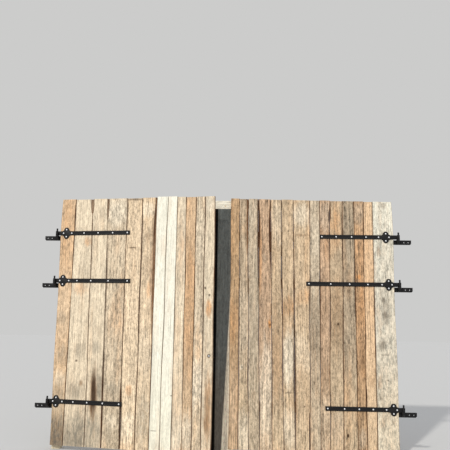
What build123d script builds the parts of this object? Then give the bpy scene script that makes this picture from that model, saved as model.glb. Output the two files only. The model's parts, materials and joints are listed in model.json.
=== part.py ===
"""Double-leaf barn door hung on strap hinges, with its timber frame. Millimetres, +Z up.

The origin is the middle of the centre post's foot. +X runs to the right seen from outside, +Y runs
into the building. Each leaf is built closed, in its own frame: the hinge pin's axis is u = 0, v = 0,
u runs along the leaf to its free edge, v runs towards the wall and z is the height above the floor.
"""
from build123d import *
from dataclasses import dataclass
import math
import os

# Timber frame
FRAME_DEPTH = 100.0
JAMB_WIDTH = 100.0
POST_WIDTH = 260.0
HEAD_HEIGHT = 100.0
DOORWAY_HEIGHT = 2850.0
TENON_THICKNESS = 32.0
TENON_SHOULDER = 20.0
TENON_HEIGHT = 70.0
MORTISE_END_ROOM = 2.0
PEG_RADIUS = 9.0
FIXING_HOLE_RADIUS = 5.5
FIXING_END_DISTANCE = 300.0
FIXING_SPACING = 750.0

# Boards of the leaves
BOARD_THICKNESS = 27.0
LEAF_FOOT_GAP = 50.0
HEAD_LAP = 90.0
LEAF_TOP = DOORWAY_HEIGHT + HEAD_LAP
LEAF_HEIGHT = LEAF_TOP - LEAF_FOOT_GAP
SEAM_GAP = 6.0
GAP_SWING = 2.5
SEAM_BACK_GAP = 1.0
WANE = 4.5
WANE_LENGTH = 1350.0
SEAM_SPANS = 6
CUT_STEP = 3.0
CHAIN_HOLE_RADIUS = 12.0
CHAIN_HOLE_EDGE = 46.0
CHAIN_HOLE_HEIGHT = 1110.0

# Ledges and braces on the leaves' backs
LEDGE_HEIGHT = 120.0
LEDGE_THICKNESS = 30.0
LEDGE_CHAMFER = 7.0
BRACE_WIDTH = 100.0
LEDGE_ROOM = 10.0
BRACE_INSET = 60.0

# Strap hinges
STRAP_HEIGHT = 50.0
STRAP_THICKNESS = 6.0
STRAP_CORNER = 4.0
PIN_RADIUS = 10.0
PIN_RUNNING_GAP = 0.4
EYE_OPEN_ANGLE = 24.0
ROSETTE_RADIUS = 41.0
LOBE_REACH = 47.0
LOBE_RADIUS = 21.0
LOBE_FILLET = 5.0
ROSETTE_FILLET = 14.0
LOBE_SCREW_SPREAD = 43.0
LOBE_SCREW_BACK = 38.0
SAME_PLACE = 0.01

# Heights of the straps: the bottom ones stand off the floor, the others hang down from the leaf's top
LEFT_TOP_STRAP_DROP = 418.0
LEFT_MIDDLE_STRAP_DROP = 994.0
LEFT_BOTTOM_STRAP_RISE = 541.0
RIGHT_TOP_STRAP_DROP = 427.0
RIGHT_MIDDLE_STRAP_DROP = 991.0
RIGHT_BOTTOM_STRAP_RISE = 526.0

# Pintles
PLATE_HEIGHT = 55.0
PLATE_THICKNESS = 6.0
PLATE_OUTBOARD = 160.0
PLATE_ON_JAMB = 82.0
PLATE_CHAMFER = 14.0
PLATE_DROP = 5.0
PLATE_BOARD_GAP = 2.0
ARM_TIP_HEIGHT = 20.0
EYE_SEAT_GAP = 0.3
PIN_RISE = 33.0
PIN_CHAMFER = 2.5
WALL_BOLT_HOLE_RADIUS = 5.5
WALL_BOLT_FIRST = 75.0
WALL_BOLT_SPACING = 50.0

# Screws
SCREW_SHANK_RADIUS = 3.5
SCREW_HEAD_RADIUS = 8.5
SCREW_HEAD_HEIGHT = 4.5
SCREW_HEAD_CHAMFER = 1.8
SCREW_BITE = 20.0
PLATE_SCREW_RADIUS = 4.0
PLATE_SCREW_HEAD_RADIUS = 8.0
PLATE_SCREW_LENGTH = 60.0
PLATE_SCREW_SPACING = 40.0

# How far the left leaf stands open
LEFT_AJAR_DEG = 8.5


@dataclass(frozen=True)
class Strap:
    """One strap hinge: its height and its places along the leaf, from the pin's axis."""

    name: str
    height: float
    length: float
    rosette: float
    screws: tuple


@dataclass(frozen=True)
class Scoop:
    """A long hollow on a seam's front, where the boards' edges keep the log's round.

    The drop is that of its middle below the leaf's top. It cuts the board before the seam, the board
    after it, or both.
    """

    seam: int
    drop: float
    half_length: float
    half_width: float
    depth: float
    before: bool = True
    after: bool = True

    def cuts(self, number: int) -> bool:
        """Whether the hollow is cut from the board of this number."""
        return (self.before and number == self.seam) or (self.after and number == self.seam + 1)


@dataclass(frozen=True)
class Leaf:
    """One leaf: board widths from the hinge edge to the free edge, at the top and at the foot."""

    side: str
    top_edge: float
    foot_edge: float
    top_widths: tuple
    foot_widths: tuple
    top_rise: float
    tall_boards: tuple
    post_lap: float
    straps: tuple
    scoops: tuple
    has_chain_hole: bool


LEFT_TOP_STRAP = Strap(
    "top", LEAF_TOP - LEFT_TOP_STRAP_DROP, length=932.0, rosette=117.0, screws=(187, 347, 528, 714, 899))
LEFT_MIDDLE_STRAP = Strap(
    "middle", LEAF_TOP - LEFT_MIDDLE_STRAP_DROP, length=959.0, rosette=104.0,
    screws=(182, 288, 465, 684, 922))
LEFT_BOTTOM_STRAP = Strap(
    "bottom", LEFT_BOTTOM_STRAP_RISE, length=917.0, rosette=105.0, screws=(183, 320, 492, 683, 882))
RIGHT_TOP_STRAP = Strap(
    "top", LEAF_TOP - RIGHT_TOP_STRAP_DROP, length=931.0, rosette=146.0, screws=(232, 380, 550, 734, 904))
RIGHT_MIDDLE_STRAP = Strap(
    "middle", LEAF_TOP - RIGHT_MIDDLE_STRAP_DROP, length=1095.0, rosette=126.0,
    screws=(204, 370, 583, 805, 1062))
RIGHT_BOTTOM_STRAP = Strap(
    "bottom", RIGHT_BOTTOM_STRAP_RISE, length=884.0, rosette=109.0, screws=(190, 340, 499, 665, 856))

LEFT = Leaf(
    side="left",
    top_edge=38.0,
    foot_edge=52.0,
    top_widths=(183, 219, 196, 247, 192, 180, 135, 117, 112, 119, 108, 120),
    foot_widths=(161, 270, 200, 220, 184, 163, 122, 138, 120, 110, 108, 118),
    top_rise=0.0,
    tall_boards=(7, 8),
    post_lap=44.0,
    straps=(LEFT_TOP_STRAP, LEFT_MIDDLE_STRAP, LEFT_BOTTOM_STRAP),
    scoops=(
        Scoop(seam=2, drop=60.0, half_length=125.0, half_width=20.0, depth=17.0),
        Scoop(seam=3, drop=55.0, half_length=205.0, half_width=13.0, depth=15.0),
        Scoop(seam=3, drop=2340.0, half_length=600.0, half_width=9.0, depth=22.0),
        Scoop(seam=4, drop=2590.0, half_length=450.0, half_width=9.0, depth=22.0),
        Scoop(seam=6, drop=820.0, half_length=880.0, half_width=26.0, depth=12.0, after=False),
    ),
    has_chain_hole=True,
)

RIGHT = Leaf(
    side="right",
    top_edge=62.0,
    foot_edge=44.0,
    top_widths=(232, 110, 116, 135, 150, 123, 116, 201, 146, 126, 150, 122, 104, 105),
    foot_widths=(254, 117, 98, 165, 152, 106, 123, 166, 133, 132, 147, 128, 118, 113),
    top_rise=33.0,
    tall_boards=(),
    post_lap=58.0,
    straps=(RIGHT_TOP_STRAP, RIGHT_MIDDLE_STRAP, RIGHT_BOTTOM_STRAP),
    scoops=(
        Scoop(seam=5, drop=145.0, half_length=95.0, half_width=8.0, depth=22.0),
        Scoop(seam=7, drop=2780.0, half_length=330.0, half_width=7.0, depth=22.0),
        Scoop(seam=8, drop=1060.0, half_length=200.0, half_width=8.0, depth=22.0),
        Scoop(seam=8, drop=2154.0, half_length=520.0, half_width=10.0, depth=22.0),
        Scoop(seam=10, drop=400.0, half_length=460.0, half_width=18.0, depth=14.0, before=False),
        Scoop(seam=10, drop=2290.0, half_length=350.0, half_width=7.0, depth=22.0),
        Scoop(seam=11, drop=400.0, half_length=650.0, half_width=11.0, depth=22.0),
        Scoop(seam=12, drop=155.0, half_length=600.0, half_width=20.0, depth=8.0, before=False),
    ),
    has_chain_hole=False,
)

# Places across the leaf's thickness, v, counted from the pin's axis towards the wall
EYE_INNER = PIN_RADIUS + PIN_RUNNING_GAP
EYE_OUTER = EYE_INNER + STRAP_THICKNESS
BAR_FRONT = EYE_INNER
BOARD_FRONT = BAR_FRONT + STRAP_THICKNESS
BOARD_BACK = BOARD_FRONT + BOARD_THICKNESS
LEDGE_BACK = BOARD_BACK + LEDGE_THICKNESS
PLATE_FRONT = BOARD_BACK + PLATE_BOARD_GAP
WALL_FACE = PLATE_FRONT + PLATE_THICKNESS

# Places along the leaf, u: the jamb stands hidden behind the leaf's hinge edge
JAMB_OUTER = max(LEFT.top_edge, LEFT.foot_edge, RIGHT.top_edge, RIGHT.foot_edge) + WANE
JAMB_INNER = JAMB_OUTER + JAMB_WIDTH
LEDGE_START = JAMB_INNER + LEDGE_ROOM

# The frame's front face is on the wall's face, and the origin is in the middle of its depth
PIN_Y = -FRAME_DEPTH / 2 - WALL_FACE


def reach(leaf: Leaf) -> float:
    """Mean distance from the pin's axis to the leaf's free edge."""
    at_top = leaf.top_edge + sum(leaf.top_widths)
    at_foot = leaf.foot_edge + sum(leaf.foot_widths)
    return (at_top + at_foot) / 2


def pin_x(leaf: Leaf) -> float:
    """Distance in X from the origin to the leaf's pins."""
    return POST_WIDTH / 2 - leaf.post_lap + reach(leaf)


def post_face(leaf: Leaf) -> float:
    """Distance along the closed leaf from the pin's axis to the centre post's near face."""
    return pin_x(leaf) - POST_WIDTH / 2


def ledge_end(leaf: Leaf) -> float:
    """End of the ledges at the free edge, which clears the post as the leaf swings."""
    swing = math.hypot(post_face(leaf), LEDGE_BACK) - post_face(leaf)
    return post_face(leaf) - LEDGE_ROOM - swing


def on_wall(shape, leaf: Leaf):
    """Puts a shape drawn in the leaf's frame at the leaf's pins, with the leaf closed."""
    if leaf.side == "left":
        return Pos(-pin_x(leaf), PIN_Y, 0) * shape
    return Pos(pin_x(leaf), PIN_Y, 0) * mirror(shape, about=Plane.YZ)


def on_leaf(shape, leaf: Leaf):
    """Puts a shape drawn in the leaf's frame on the leaf where it stands at rest."""
    if leaf.side == "left":
        return on_wall(Rot(0, 0, -LEFT_AJAR_DEG) * shape, leaf)
    return on_wall(shape, leaf)


def rod(u: float, z: float, start: float, end: float, radius: float) -> Part:
    """A round bar across the leaf at u, z, from v = start to v = end."""
    face = Plane(origin=(u, start, z), z_dir=(0, 1, 0)) * Circle(radius)
    return extrude(face, end - start)


def slab(outline: Sketch, start: float, end: float) -> Part:
    """An outline drawn in u and z, made solid from v = start to v = end."""
    flat = Plane(origin=(0, start, 0), x_dir=(1, 0, 0), z_dir=(0, -1, 0)) * outline
    return extrude(flat, end - start, dir=(0, 1, 0))


def board_top(leaf: Leaf, number: int, u: float) -> float:
    """Height of a board's sawn top: the leaf's own slope, and a small step from board to board."""
    step = CUT_STEP * math.sin(2.3 * number)
    if number in leaf.tall_boards:
        step += 4 * CUT_STEP
    return LEAF_TOP + leaf.top_rise * u / reach(leaf) + step


def seam_u(leaf: Leaf, seam: int, z: float) -> float:
    """Middle of a waney seam at height z; seam 0 is the hinge edge."""
    share = (z - LEAF_FOOT_GAP) / LEAF_HEIGHT
    at_top = leaf.top_edge + sum(leaf.top_widths[:seam])
    at_foot = leaf.foot_edge + sum(leaf.foot_widths[:seam])
    wave = WANE * math.sin(2 * math.pi * z / WANE_LENGTH + 1.9 * seam)
    return at_foot + (at_top - at_foot) * share + wave * (0.55 + 0.45 * math.cos(2.7 * seam))


def seam_gap(seam: int, z: float, mean: float, swing: float) -> float:
    """Open width of a seam at height z, which swings about its mean."""
    return mean + swing * math.sin(3 * math.pi * z / WANE_LENGTH + 2.1 * seam)


def board_face(leaf: Leaf, number: int, v: float, gap: float, swing: float) -> Face:
    """Outline of a board's face at depth v, between two seams of the given gap."""
    def edge(seam: int, side: int) -> list:
        points = []
        for step in range(SEAM_SPANS + 1):
            z = LEAF_FOOT_GAP + LEAF_HEIGHT * step / SEAM_SPANS
            points.append((seam_u(leaf, seam, z) + side * seam_gap(seam, z, gap, swing) / 2, v, z))
        top = points.pop()
        return points + [(top[0], v, board_top(leaf, number, top[0]))]

    near = edge(number - 1, 1)
    far = edge(number, -1)
    return Face(Wire([
        Line(near[0], far[0]).edge(),
        Spline(far).edge(),
        Line(far[-1], near[-1]).edge(),
        Spline(near).edge(),
    ]))


def board(leaf: Leaf, number: int) -> Part:
    """One board between two seams, narrower outside than inside, with waney edges and sawn ends."""
    outer = board_face(leaf, number, BOARD_FRONT, SEAM_GAP, GAP_SWING)
    inner = board_face(leaf, number, BOARD_BACK, SEAM_BACK_GAP, 0)
    return loft([outer, inner], ruled=True)


def scoop_cut(leaf: Leaf, scoop: Scoop) -> Part:
    """The hollow along a seam, as a long flat ellipsoid that leans with the seam."""
    height = LEAF_TOP - scoop.drop
    rise = scoop.half_length / 2
    lean = seam_u(leaf, scoop.seam, height + rise) - seam_u(leaf, scoop.seam, height - rise)
    hollow = scale(Sphere(1), by=(scoop.half_width, scoop.depth, scoop.half_length))
    turned = Rot(0, math.degrees(math.atan2(lean, 2 * rise)), 0) * hollow
    return Pos(seam_u(leaf, scoop.seam, height), BOARD_FRONT, height) * turned


def strap_screw_places(strap: Strap) -> list:
    """Places (u, z) of a strap's screws: four in the rosette's lobes, the rest along the bar."""
    lobes = [
        (strap.rosette - LOBE_SCREW_BACK, strap.height),
        (strap.rosette, strap.height + LOBE_SCREW_SPREAD),
        (strap.rosette, strap.height - LOBE_SCREW_SPREAD),
    ]
    return lobes + [(u, strap.height) for u in strap.screws]


def screw_end(leaf: Leaf, u: float) -> float:
    """How deep a strap screw goes: into the ledge where there is one, else nearly through the board."""
    if LEDGE_START + SCREW_HEAD_RADIUS < u < ledge_end(leaf):
        return BOARD_BACK + SCREW_BITE
    return BOARD_BACK - STRAP_THICKNESS / 2


def screw_holes(leaf: Leaf) -> list:
    """The shank holes of all the leaf's strap screws, as rods with the place of each."""
    holes = []
    for strap in leaf.straps:
        for u, z in strap_screw_places(strap):
            holes.append((u, z, rod(u, z, BAR_FRONT, screw_end(leaf, u), SCREW_SHANK_RADIUS)))
    return holes


def strap_screw(leaf: Leaf, u: float, z: float) -> Part:
    """One strap screw: a low round head on the strap's face, and its shank."""
    head = chamfer(
        rod(u, z, BAR_FRONT - SCREW_HEAD_HEIGHT, BAR_FRONT, SCREW_HEAD_RADIUS)
        .edges().group_by(Axis.Y)[0],
        SCREW_HEAD_CHAMFER,
    )
    return head + rod(u, z, BAR_FRONT, screw_end(leaf, u), SCREW_SHANK_RADIUS)


def rolled_eye(height: float) -> Part:
    """The strap's end rolled round the pin, open by a slit where it comes back to the bar."""
    ring = Circle(EYE_OUTER) - Circle(EYE_INNER)
    far = 2 * EYE_OUTER
    lip = math.radians(EYE_OPEN_ANGLE)
    mouth = make_face(Polyline(
        (0, 0), (far * math.cos(lip), far * math.sin(lip)), (far, far), (0, far), close=True,
    ))
    tangent = Pos(EYE_OUTER / 2, EYE_INNER + STRAP_THICKNESS / 2) * Rectangle(EYE_OUTER, STRAP_THICKNESS)
    low = height - STRAP_HEIGHT / 2
    return Pos(0, 0, low) * extrude(ring - mouth + tangent, STRAP_HEIGHT)


def corners_at(outline: Sketch, x: float, y: float) -> ShapeList:
    """The four corners of an outline that stand at x, y from its origin, on either side."""
    def stands_there(corner: Vertex) -> bool:
        return math.hypot(abs(corner.X) - x, abs(corner.Y) - y) < SAME_PLACE

    return outline.vertices().filter_by(stands_there)


def strap_outline(strap: Strap) -> Sketch:
    """Face of the strap in u and z: the flat bar, and the rosette with a lobe above and below it."""
    bar = Pos(strap.length / 2 - strap.rosette, 0) * Rectangle(strap.length, STRAP_HEIGHT)
    bar = fillet(bar.vertices().group_by(Axis.X)[-1], STRAP_CORNER)
    outline = bar + Circle(ROSETTE_RADIUS)
    for side in (1, -1):
        outline += Pos(0, side * LOBE_REACH) * Circle(LOBE_RADIUS)
    waist = math.sqrt(ROSETTE_RADIUS ** 2 - (STRAP_HEIGHT / 2) ** 2)
    crook = (ROSETTE_RADIUS ** 2 - LOBE_RADIUS ** 2 + LOBE_REACH ** 2) / (2 * LOBE_REACH)
    outline = fillet(corners_at(outline, waist, STRAP_HEIGHT / 2), ROSETTE_FILLET)
    notch = math.sqrt(ROSETTE_RADIUS ** 2 - crook ** 2)
    outline = fillet(corners_at(outline, notch, crook), LOBE_FILLET)
    return Pos(strap.rosette, strap.height) * outline


def strap_hinge(strap: Strap) -> Part:
    """One strap: the flat bar with its rosette, punched for the screws, and the rolled eye."""
    hinge = slab(strap_outline(strap), BAR_FRONT, BOARD_FRONT)
    cut = slab(Pos(0, strap.height) * Rectangle(EYE_OUTER, STRAP_HEIGHT), BAR_FRONT, BOARD_FRONT)
    hinge = hinge - cut + rolled_eye(strap.height)
    for u, z in strap_screw_places(strap):
        hinge -= rod(u, z, BAR_FRONT, BOARD_FRONT, SCREW_SHANK_RADIUS)
    return hinge


def plate_screw_places(strap: Strap) -> list:
    """Places (u, z) of the two screws that hold a pintle's plate to the jamb."""
    middle = JAMB_OUTER + PLATE_ON_JAMB / 2
    z = plate_top(strap) - PLATE_HEIGHT / 2
    return [(middle + side * PLATE_SCREW_SPACING / 2, z) for side in (-1, 1)]


def plate_top(strap: Strap) -> float:
    """Height of the top edge of a pintle's plate."""
    return strap.height - STRAP_HEIGHT / 2 - EYE_SEAT_GAP - PLATE_DROP


def pintle(strap: Strap) -> Part:
    """One pintle: a flat plate for the wall and the jamb, a bracket arm and the hinge pin."""
    high = plate_top(strap)
    low = high - PLATE_HEIGHT
    near = JAMB_OUTER + PLATE_ON_JAMB
    outline = Rectangle(near + PLATE_OUTBOARD, PLATE_HEIGHT)
    outline = Pos((near - PLATE_OUTBOARD) / 2, (high + low) / 2) * outline
    outline = chamfer(outline.vertices().group_by(Axis.Y)[0], PLATE_CHAMFER)
    plate = slab(outline, PLATE_FRONT, WALL_FACE)
    seat = strap.height - STRAP_HEIGHT / 2 - EYE_SEAT_GAP
    side_view = Plane.YZ * make_face(Polyline(
        (-EYE_OUTER, seat), (PLATE_FRONT, seat), (PLATE_FRONT, low),
        (EYE_OUTER, seat - 2 * ARM_TIP_HEIGHT), (-EYE_OUTER, seat - ARM_TIP_HEIGHT), close=True,
    ))
    plan = Circle(EYE_OUTER) + Pos(0, PLATE_FRONT / 2) * Rectangle(2 * EYE_OUTER, PLATE_FRONT)
    web = extrude(side_view, EYE_OUTER, both=True)
    arm = web & (Pos(0, 0, low) * extrude(plan, seat - low))
    pin = Pos(0, 0, seat - ARM_TIP_HEIGHT) * extrude(
        Circle(PIN_RADIUS), STRAP_HEIGHT + EYE_SEAT_GAP + PIN_RISE + ARM_TIP_HEIGHT)
    pin = chamfer(pin.edges().group_by(Axis.Z)[-1], PIN_CHAMFER)
    body = plate + arm + pin
    for step in (0, 1):
        u = -(WALL_BOLT_FIRST + step * WALL_BOLT_SPACING)
        body -= rod(u, (high + low) / 2, PLATE_FRONT, WALL_FACE, WALL_BOLT_HOLE_RADIUS)
    for u, z in plate_screw_places(strap):
        body -= plate_screw(u, z)
    return body


def plate_screw(u: float, z: float) -> Part:
    """One countersunk screw, flush with the plate's face."""
    cone_depth = PLATE_SCREW_HEAD_RADIUS - PLATE_SCREW_RADIUS
    profile = Plane.XY * make_face(Polyline(
        (0, 0), (PLATE_SCREW_HEAD_RADIUS, 0), (PLATE_SCREW_RADIUS, cone_depth),
        (PLATE_SCREW_RADIUS, PLATE_SCREW_LENGTH), (0, PLATE_SCREW_LENGTH), close=True,
    ))
    return Pos(u, PLATE_FRONT, z) * revolve(profile, Axis.Y)


def ledge(leaf: Leaf, strap: Strap) -> Part:
    """One ledge: the board across the leaf's back behind a strap, chamfered along its outer edges."""
    long = ledge_end(leaf) - LEDGE_START
    outline = Pos(LEDGE_START + long / 2, strap.height) * Rectangle(long, LEDGE_HEIGHT)
    bar = slab(outline, BOARD_BACK, LEDGE_BACK)
    back_edges = bar.edges().filter_by(Axis.X).group_by(Axis.Y)[-1]
    return chamfer(back_edges, LEDGE_CHAMFER)


def brace(leaf: Leaf, lower: Strap, upper: Strap) -> Part:
    """One brace, rising from the hinge side of one ledge to the free side of the next."""
    foot = lower.height + LEDGE_HEIGHT / 2
    head = upper.height - LEDGE_HEIGHT / 2
    start = LEDGE_START + BRACE_INSET
    end = ledge_end(leaf) - BRACE_INSET
    angle = math.atan2(head - foot, end - start)
    run = BRACE_WIDTH / math.sin(angle)
    outline = make_face(Polyline(
        (start, foot), (start + run, foot), (end, head), (end - run, head), close=True,
    ))
    return slab(outline, BOARD_BACK, LEDGE_BACK)


def timber(x: float, width: float, low: float, high: float) -> Part:
    """A square timber of the frame's depth, centred on x."""
    return Pos(x, 0, (low + high) / 2) * Box(width, FRAME_DEPTH, high - low)


def tenon(x: float, width: float, room: float) -> Part:
    """A stub tenon on the top of an upright, or its mortise with room over its end."""
    height = TENON_HEIGHT + room
    return Pos(x, 0, DOORWAY_HEIGHT + height / 2) * Box(width - 2 * TENON_SHOULDER, TENON_THICKNESS, height)


def peg(x: float) -> Part:
    """A round oak peg through the head and a tenon."""
    half = FRAME_DEPTH / 2
    return rod(x, DOORWAY_HEIGHT + TENON_HEIGHT / 2, -half, half, PEG_RADIUS)


def fixing_heights() -> list:
    """Heights of the fixing holes in each jamb."""
    count = int((DOORWAY_HEIGHT - 2 * FIXING_END_DISTANCE) // FIXING_SPACING) + 1
    return [FIXING_END_DISTANCE + step * FIXING_SPACING for step in range(count)]


def upright(x: float, width: float) -> Part:
    """A jamb or the centre post, with its tenon and peg hole."""
    return timber(x, width, 0, DOORWAY_HEIGHT) + tenon(x, width, 0) - peg(x)


def jamb_x(leaf: Leaf) -> float:
    """Middle of a jamb, with its sign."""
    sign = -1 if leaf.side == "left" else 1
    return sign * (pin_x(leaf) - (JAMB_OUTER + JAMB_INNER) / 2)


def jamb(leaf: Leaf) -> Part:
    """One jamb, bored for the fixings to the wall's reveal and for the plates' screws."""
    body = upright(jamb_x(leaf), JAMB_WIDTH)
    for z in fixing_heights():
        hole = Plane(origin=(jamb_x(leaf) - JAMB_WIDTH, 0, z), z_dir=(1, 0, 0)) * Circle(FIXING_HOLE_RADIUS)
        body -= extrude(hole, 2 * JAMB_WIDTH)
    for strap in leaf.straps:
        for u, z in plate_screw_places(strap):
            body -= on_wall(plate_screw(u, z), leaf)
    return body


def head_beam() -> Part:
    """The head, housed over the three uprights."""
    left = jamb_x(LEFT) - JAMB_WIDTH / 2
    right = jamb_x(RIGHT) + JAMB_WIDTH / 2
    body = timber((left + right) / 2, right - left, DOORWAY_HEIGHT, DOORWAY_HEIGHT + HEAD_HEIGHT)
    for x, width in ((jamb_x(LEFT), JAMB_WIDTH), (0, POST_WIDTH), (jamb_x(RIGHT), JAMB_WIDTH)):
        body -= tenon(x, width, MORTISE_END_ROOM)
        body -= peg(x)
    return body


def leaf_nodes(leaf: Leaf) -> dict:
    """All the nodes of one leaf and of its pintles."""
    nodes = {}
    side = leaf.side
    holes = screw_holes(leaf)
    hollows = [(scoop, scoop_cut(leaf, scoop)) for scoop in leaf.scoops]
    for number in range(1, len(leaf.top_widths) + 1):
        body = board(leaf, number)
        for scoop, hollow in hollows:
            if scoop.cuts(number):
                body -= hollow
        box = body.bounding_box()
        for u, z, hole in holes:
            if box.min.X - SCREW_SHANK_RADIUS < u < box.max.X + SCREW_SHANK_RADIUS:
                body -= hole
        if leaf.has_chain_hole and number == len(leaf.top_widths):
            body -= rod(reach(leaf) - CHAIN_HOLE_EDGE, CHAIN_HOLE_HEIGHT, 0, LEDGE_BACK, CHAIN_HOLE_RADIUS)
        nodes[f"{side}_board_{number:02d}"] = on_leaf(body, leaf)
    for strap in leaf.straps:
        rail = ledge(leaf, strap)
        for u, z, hole in holes:
            if z == strap.height and u > LEDGE_START:
                rail -= hole
        nodes[f"{side}_ledge_{strap.name}"] = on_leaf(rail, leaf)
        nodes[f"{side}_strap_{strap.name}"] = on_leaf(strap_hinge(strap), leaf)
        nodes[f"{side}_pintle_{strap.name}"] = on_wall(pintle(strap), leaf)
    top, middle, bottom = leaf.straps
    nodes[f"{side}_brace_upper"] = on_leaf(brace(leaf, middle, top), leaf)
    nodes[f"{side}_brace_lower"] = on_leaf(brace(leaf, bottom, middle), leaf)
    screws = []
    for strap in leaf.straps:
        for u, z in strap_screw_places(strap):
            screws.append(on_leaf(strap_screw(leaf, u, z), leaf))
    nodes[f"{side}_strap_screws"] = screws
    return nodes


def frame_nodes() -> dict:
    """The timber frame, its pegs and the screws of the pintle plates."""
    plate_screws = []
    for leaf in (LEFT, RIGHT):
        for strap in leaf.straps:
            for u, z in plate_screw_places(strap):
                plate_screws.append(on_wall(plate_screw(u, z), leaf))
    return {
        "frame_head": head_beam(),
        "frame_jamb_left": jamb(LEFT),
        "frame_jamb_right": jamb(RIGHT),
        "frame_centre_post": upright(0, POST_WIDTH),
        "frame_pegs": [peg(x) for x in (jamb_x(LEFT), 0, jamb_x(RIGHT))],
        "pintle_plate_screws": plate_screws,
    }


def write_nodes(nodes: dict) -> None:
    """Writes each node to its own STEP file; a list becomes a group of separate solids."""
    os.makedirs("parts", exist_ok=True)
    for name, shape in nodes.items():
        pieces = shape if isinstance(shape, list) else [shape]
        solids = [solid for piece in pieces for solid in piece.solids()]
        whole = solids[0] if len(solids) == 1 else Compound(solids)
        export_step(whole, f"parts/{name}.step")


write_nodes({**frame_nodes(), **leaf_nodes(LEFT), **leaf_nodes(RIGHT)})
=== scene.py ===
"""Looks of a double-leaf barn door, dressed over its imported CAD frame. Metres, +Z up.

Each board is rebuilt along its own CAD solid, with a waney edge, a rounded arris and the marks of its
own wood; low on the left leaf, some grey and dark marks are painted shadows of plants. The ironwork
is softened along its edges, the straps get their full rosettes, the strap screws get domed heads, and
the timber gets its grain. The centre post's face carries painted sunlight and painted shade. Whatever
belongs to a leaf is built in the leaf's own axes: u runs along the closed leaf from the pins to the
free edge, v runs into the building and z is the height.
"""

import json
import logging
import math
from dataclasses import dataclass
from enum import Enum

import bmesh
import bpy
import numpy as np
from mathutils import Matrix, Vector
from mathutils.bvhtree import BVHTree


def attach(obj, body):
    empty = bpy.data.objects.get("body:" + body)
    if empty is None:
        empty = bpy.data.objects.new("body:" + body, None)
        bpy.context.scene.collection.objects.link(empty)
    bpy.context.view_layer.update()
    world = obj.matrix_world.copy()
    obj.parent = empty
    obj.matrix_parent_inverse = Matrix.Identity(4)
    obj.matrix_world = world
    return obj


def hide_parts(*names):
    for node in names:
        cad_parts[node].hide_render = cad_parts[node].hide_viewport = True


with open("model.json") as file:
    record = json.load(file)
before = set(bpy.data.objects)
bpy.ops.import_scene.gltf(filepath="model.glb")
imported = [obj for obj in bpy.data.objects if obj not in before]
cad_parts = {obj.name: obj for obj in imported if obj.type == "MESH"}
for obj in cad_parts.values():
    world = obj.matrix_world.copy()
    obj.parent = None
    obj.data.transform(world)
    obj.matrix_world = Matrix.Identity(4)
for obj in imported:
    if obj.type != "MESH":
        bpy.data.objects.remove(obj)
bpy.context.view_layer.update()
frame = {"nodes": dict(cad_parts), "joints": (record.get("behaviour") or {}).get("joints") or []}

log = logging.getLogger("barn_door")

MM = 0.001
Colour = tuple[float, float, float, float]
Faces = list[tuple[int, ...]]
Columns = list[np.ndarray]


def srgb(red: int, green: int, blue: int) -> Colour:
    """Turns a colour written in the usual 0 to 255 steps into the scene's linear colour.

    Args:
        red: step of red.
        green: step of green.
        blue: step of blue.

    Returns:
        The linear colour, opaque.
    """
    def linear(step: int) -> float:
        """One step by the curve of the sRGB standard, whose own numbers these are."""
        share = step / 255
        return share / 12.92 if share <= 0.04045 else ((share + 0.055) / 1.055) ** 2.4

    return linear(red), linear(green), linear(blue), 1.0


def smooth(value: np.ndarray, low: float, high: float) -> np.ndarray:
    """Share for each value that rises smoothly from 0 at low to 1 at high."""
    share = np.clip((value - low) / (high - low), 0.0, 1.0)
    return share * share * (3 - 2 * share)


class LatticeNoise:
    """Smooth noise between -1 and 1 on a lattice of random values that wraps round."""

    SIZE = 256
    LAYER_SHIFT = (17.3, 9.1)

    def __init__(self, seed: int) -> None:
        """Fills the lattice from the seed."""
        self.values = np.random.default_rng(seed).uniform(-1.0, 1.0, (self.SIZE, self.SIZE))

    def at(self, x: np.ndarray, y: np.ndarray) -> np.ndarray:
        """The noise at some places.

        Args:
            x: places across the lattice, in its steps.
            y: places up the lattice, in its steps.

        Returns:
            The noise at each place.
        """
        x, y = np.broadcast_arrays(np.asarray(x, float), np.asarray(y, float))
        column = np.floor(x).astype(int)
        row = np.floor(y).astype(int)
        fx = smooth(x - column, 0.0, 1.0)
        fy = smooth(y - row, 0.0, 1.0)

        def corner(right: int, up: int) -> np.ndarray:
            """Values at one corner of each place's square."""
            return self.values[(row + up) % self.SIZE, (column + right) % self.SIZE]

        lower = corner(0, 0) * (1 - fx) + corner(1, 0) * fx
        upper = corner(0, 1) * (1 - fx) + corner(1, 1) * fx
        return lower * (1 - fy) + upper * fy

    def layered(self, x: np.ndarray, y: np.ndarray, layers: int = 3) -> np.ndarray:
        """Sum of ever finer and weaker layers of the noise, still about -1 to 1.

        Args:
            x: places across the lattice, in steps of the coarsest layer.
            y: places up the lattice, in the same steps.
            layers: how many layers there are.

        Returns:
            The sum at each place.
        """
        total = np.zeros(np.broadcast(x, y).shape)
        right, up = self.LAYER_SHIFT
        for layer in range(layers):
            finer = 2 ** layer
            total = total + self.at(x * finer + right * layer, y * finer + up * layer) / finer
        return total / (2 - 0.5 ** (layers - 1))


class Side(Enum):
    """The two leaves, as seen in the photograph."""

    LEFT = "left"
    RIGHT = "right"


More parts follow.
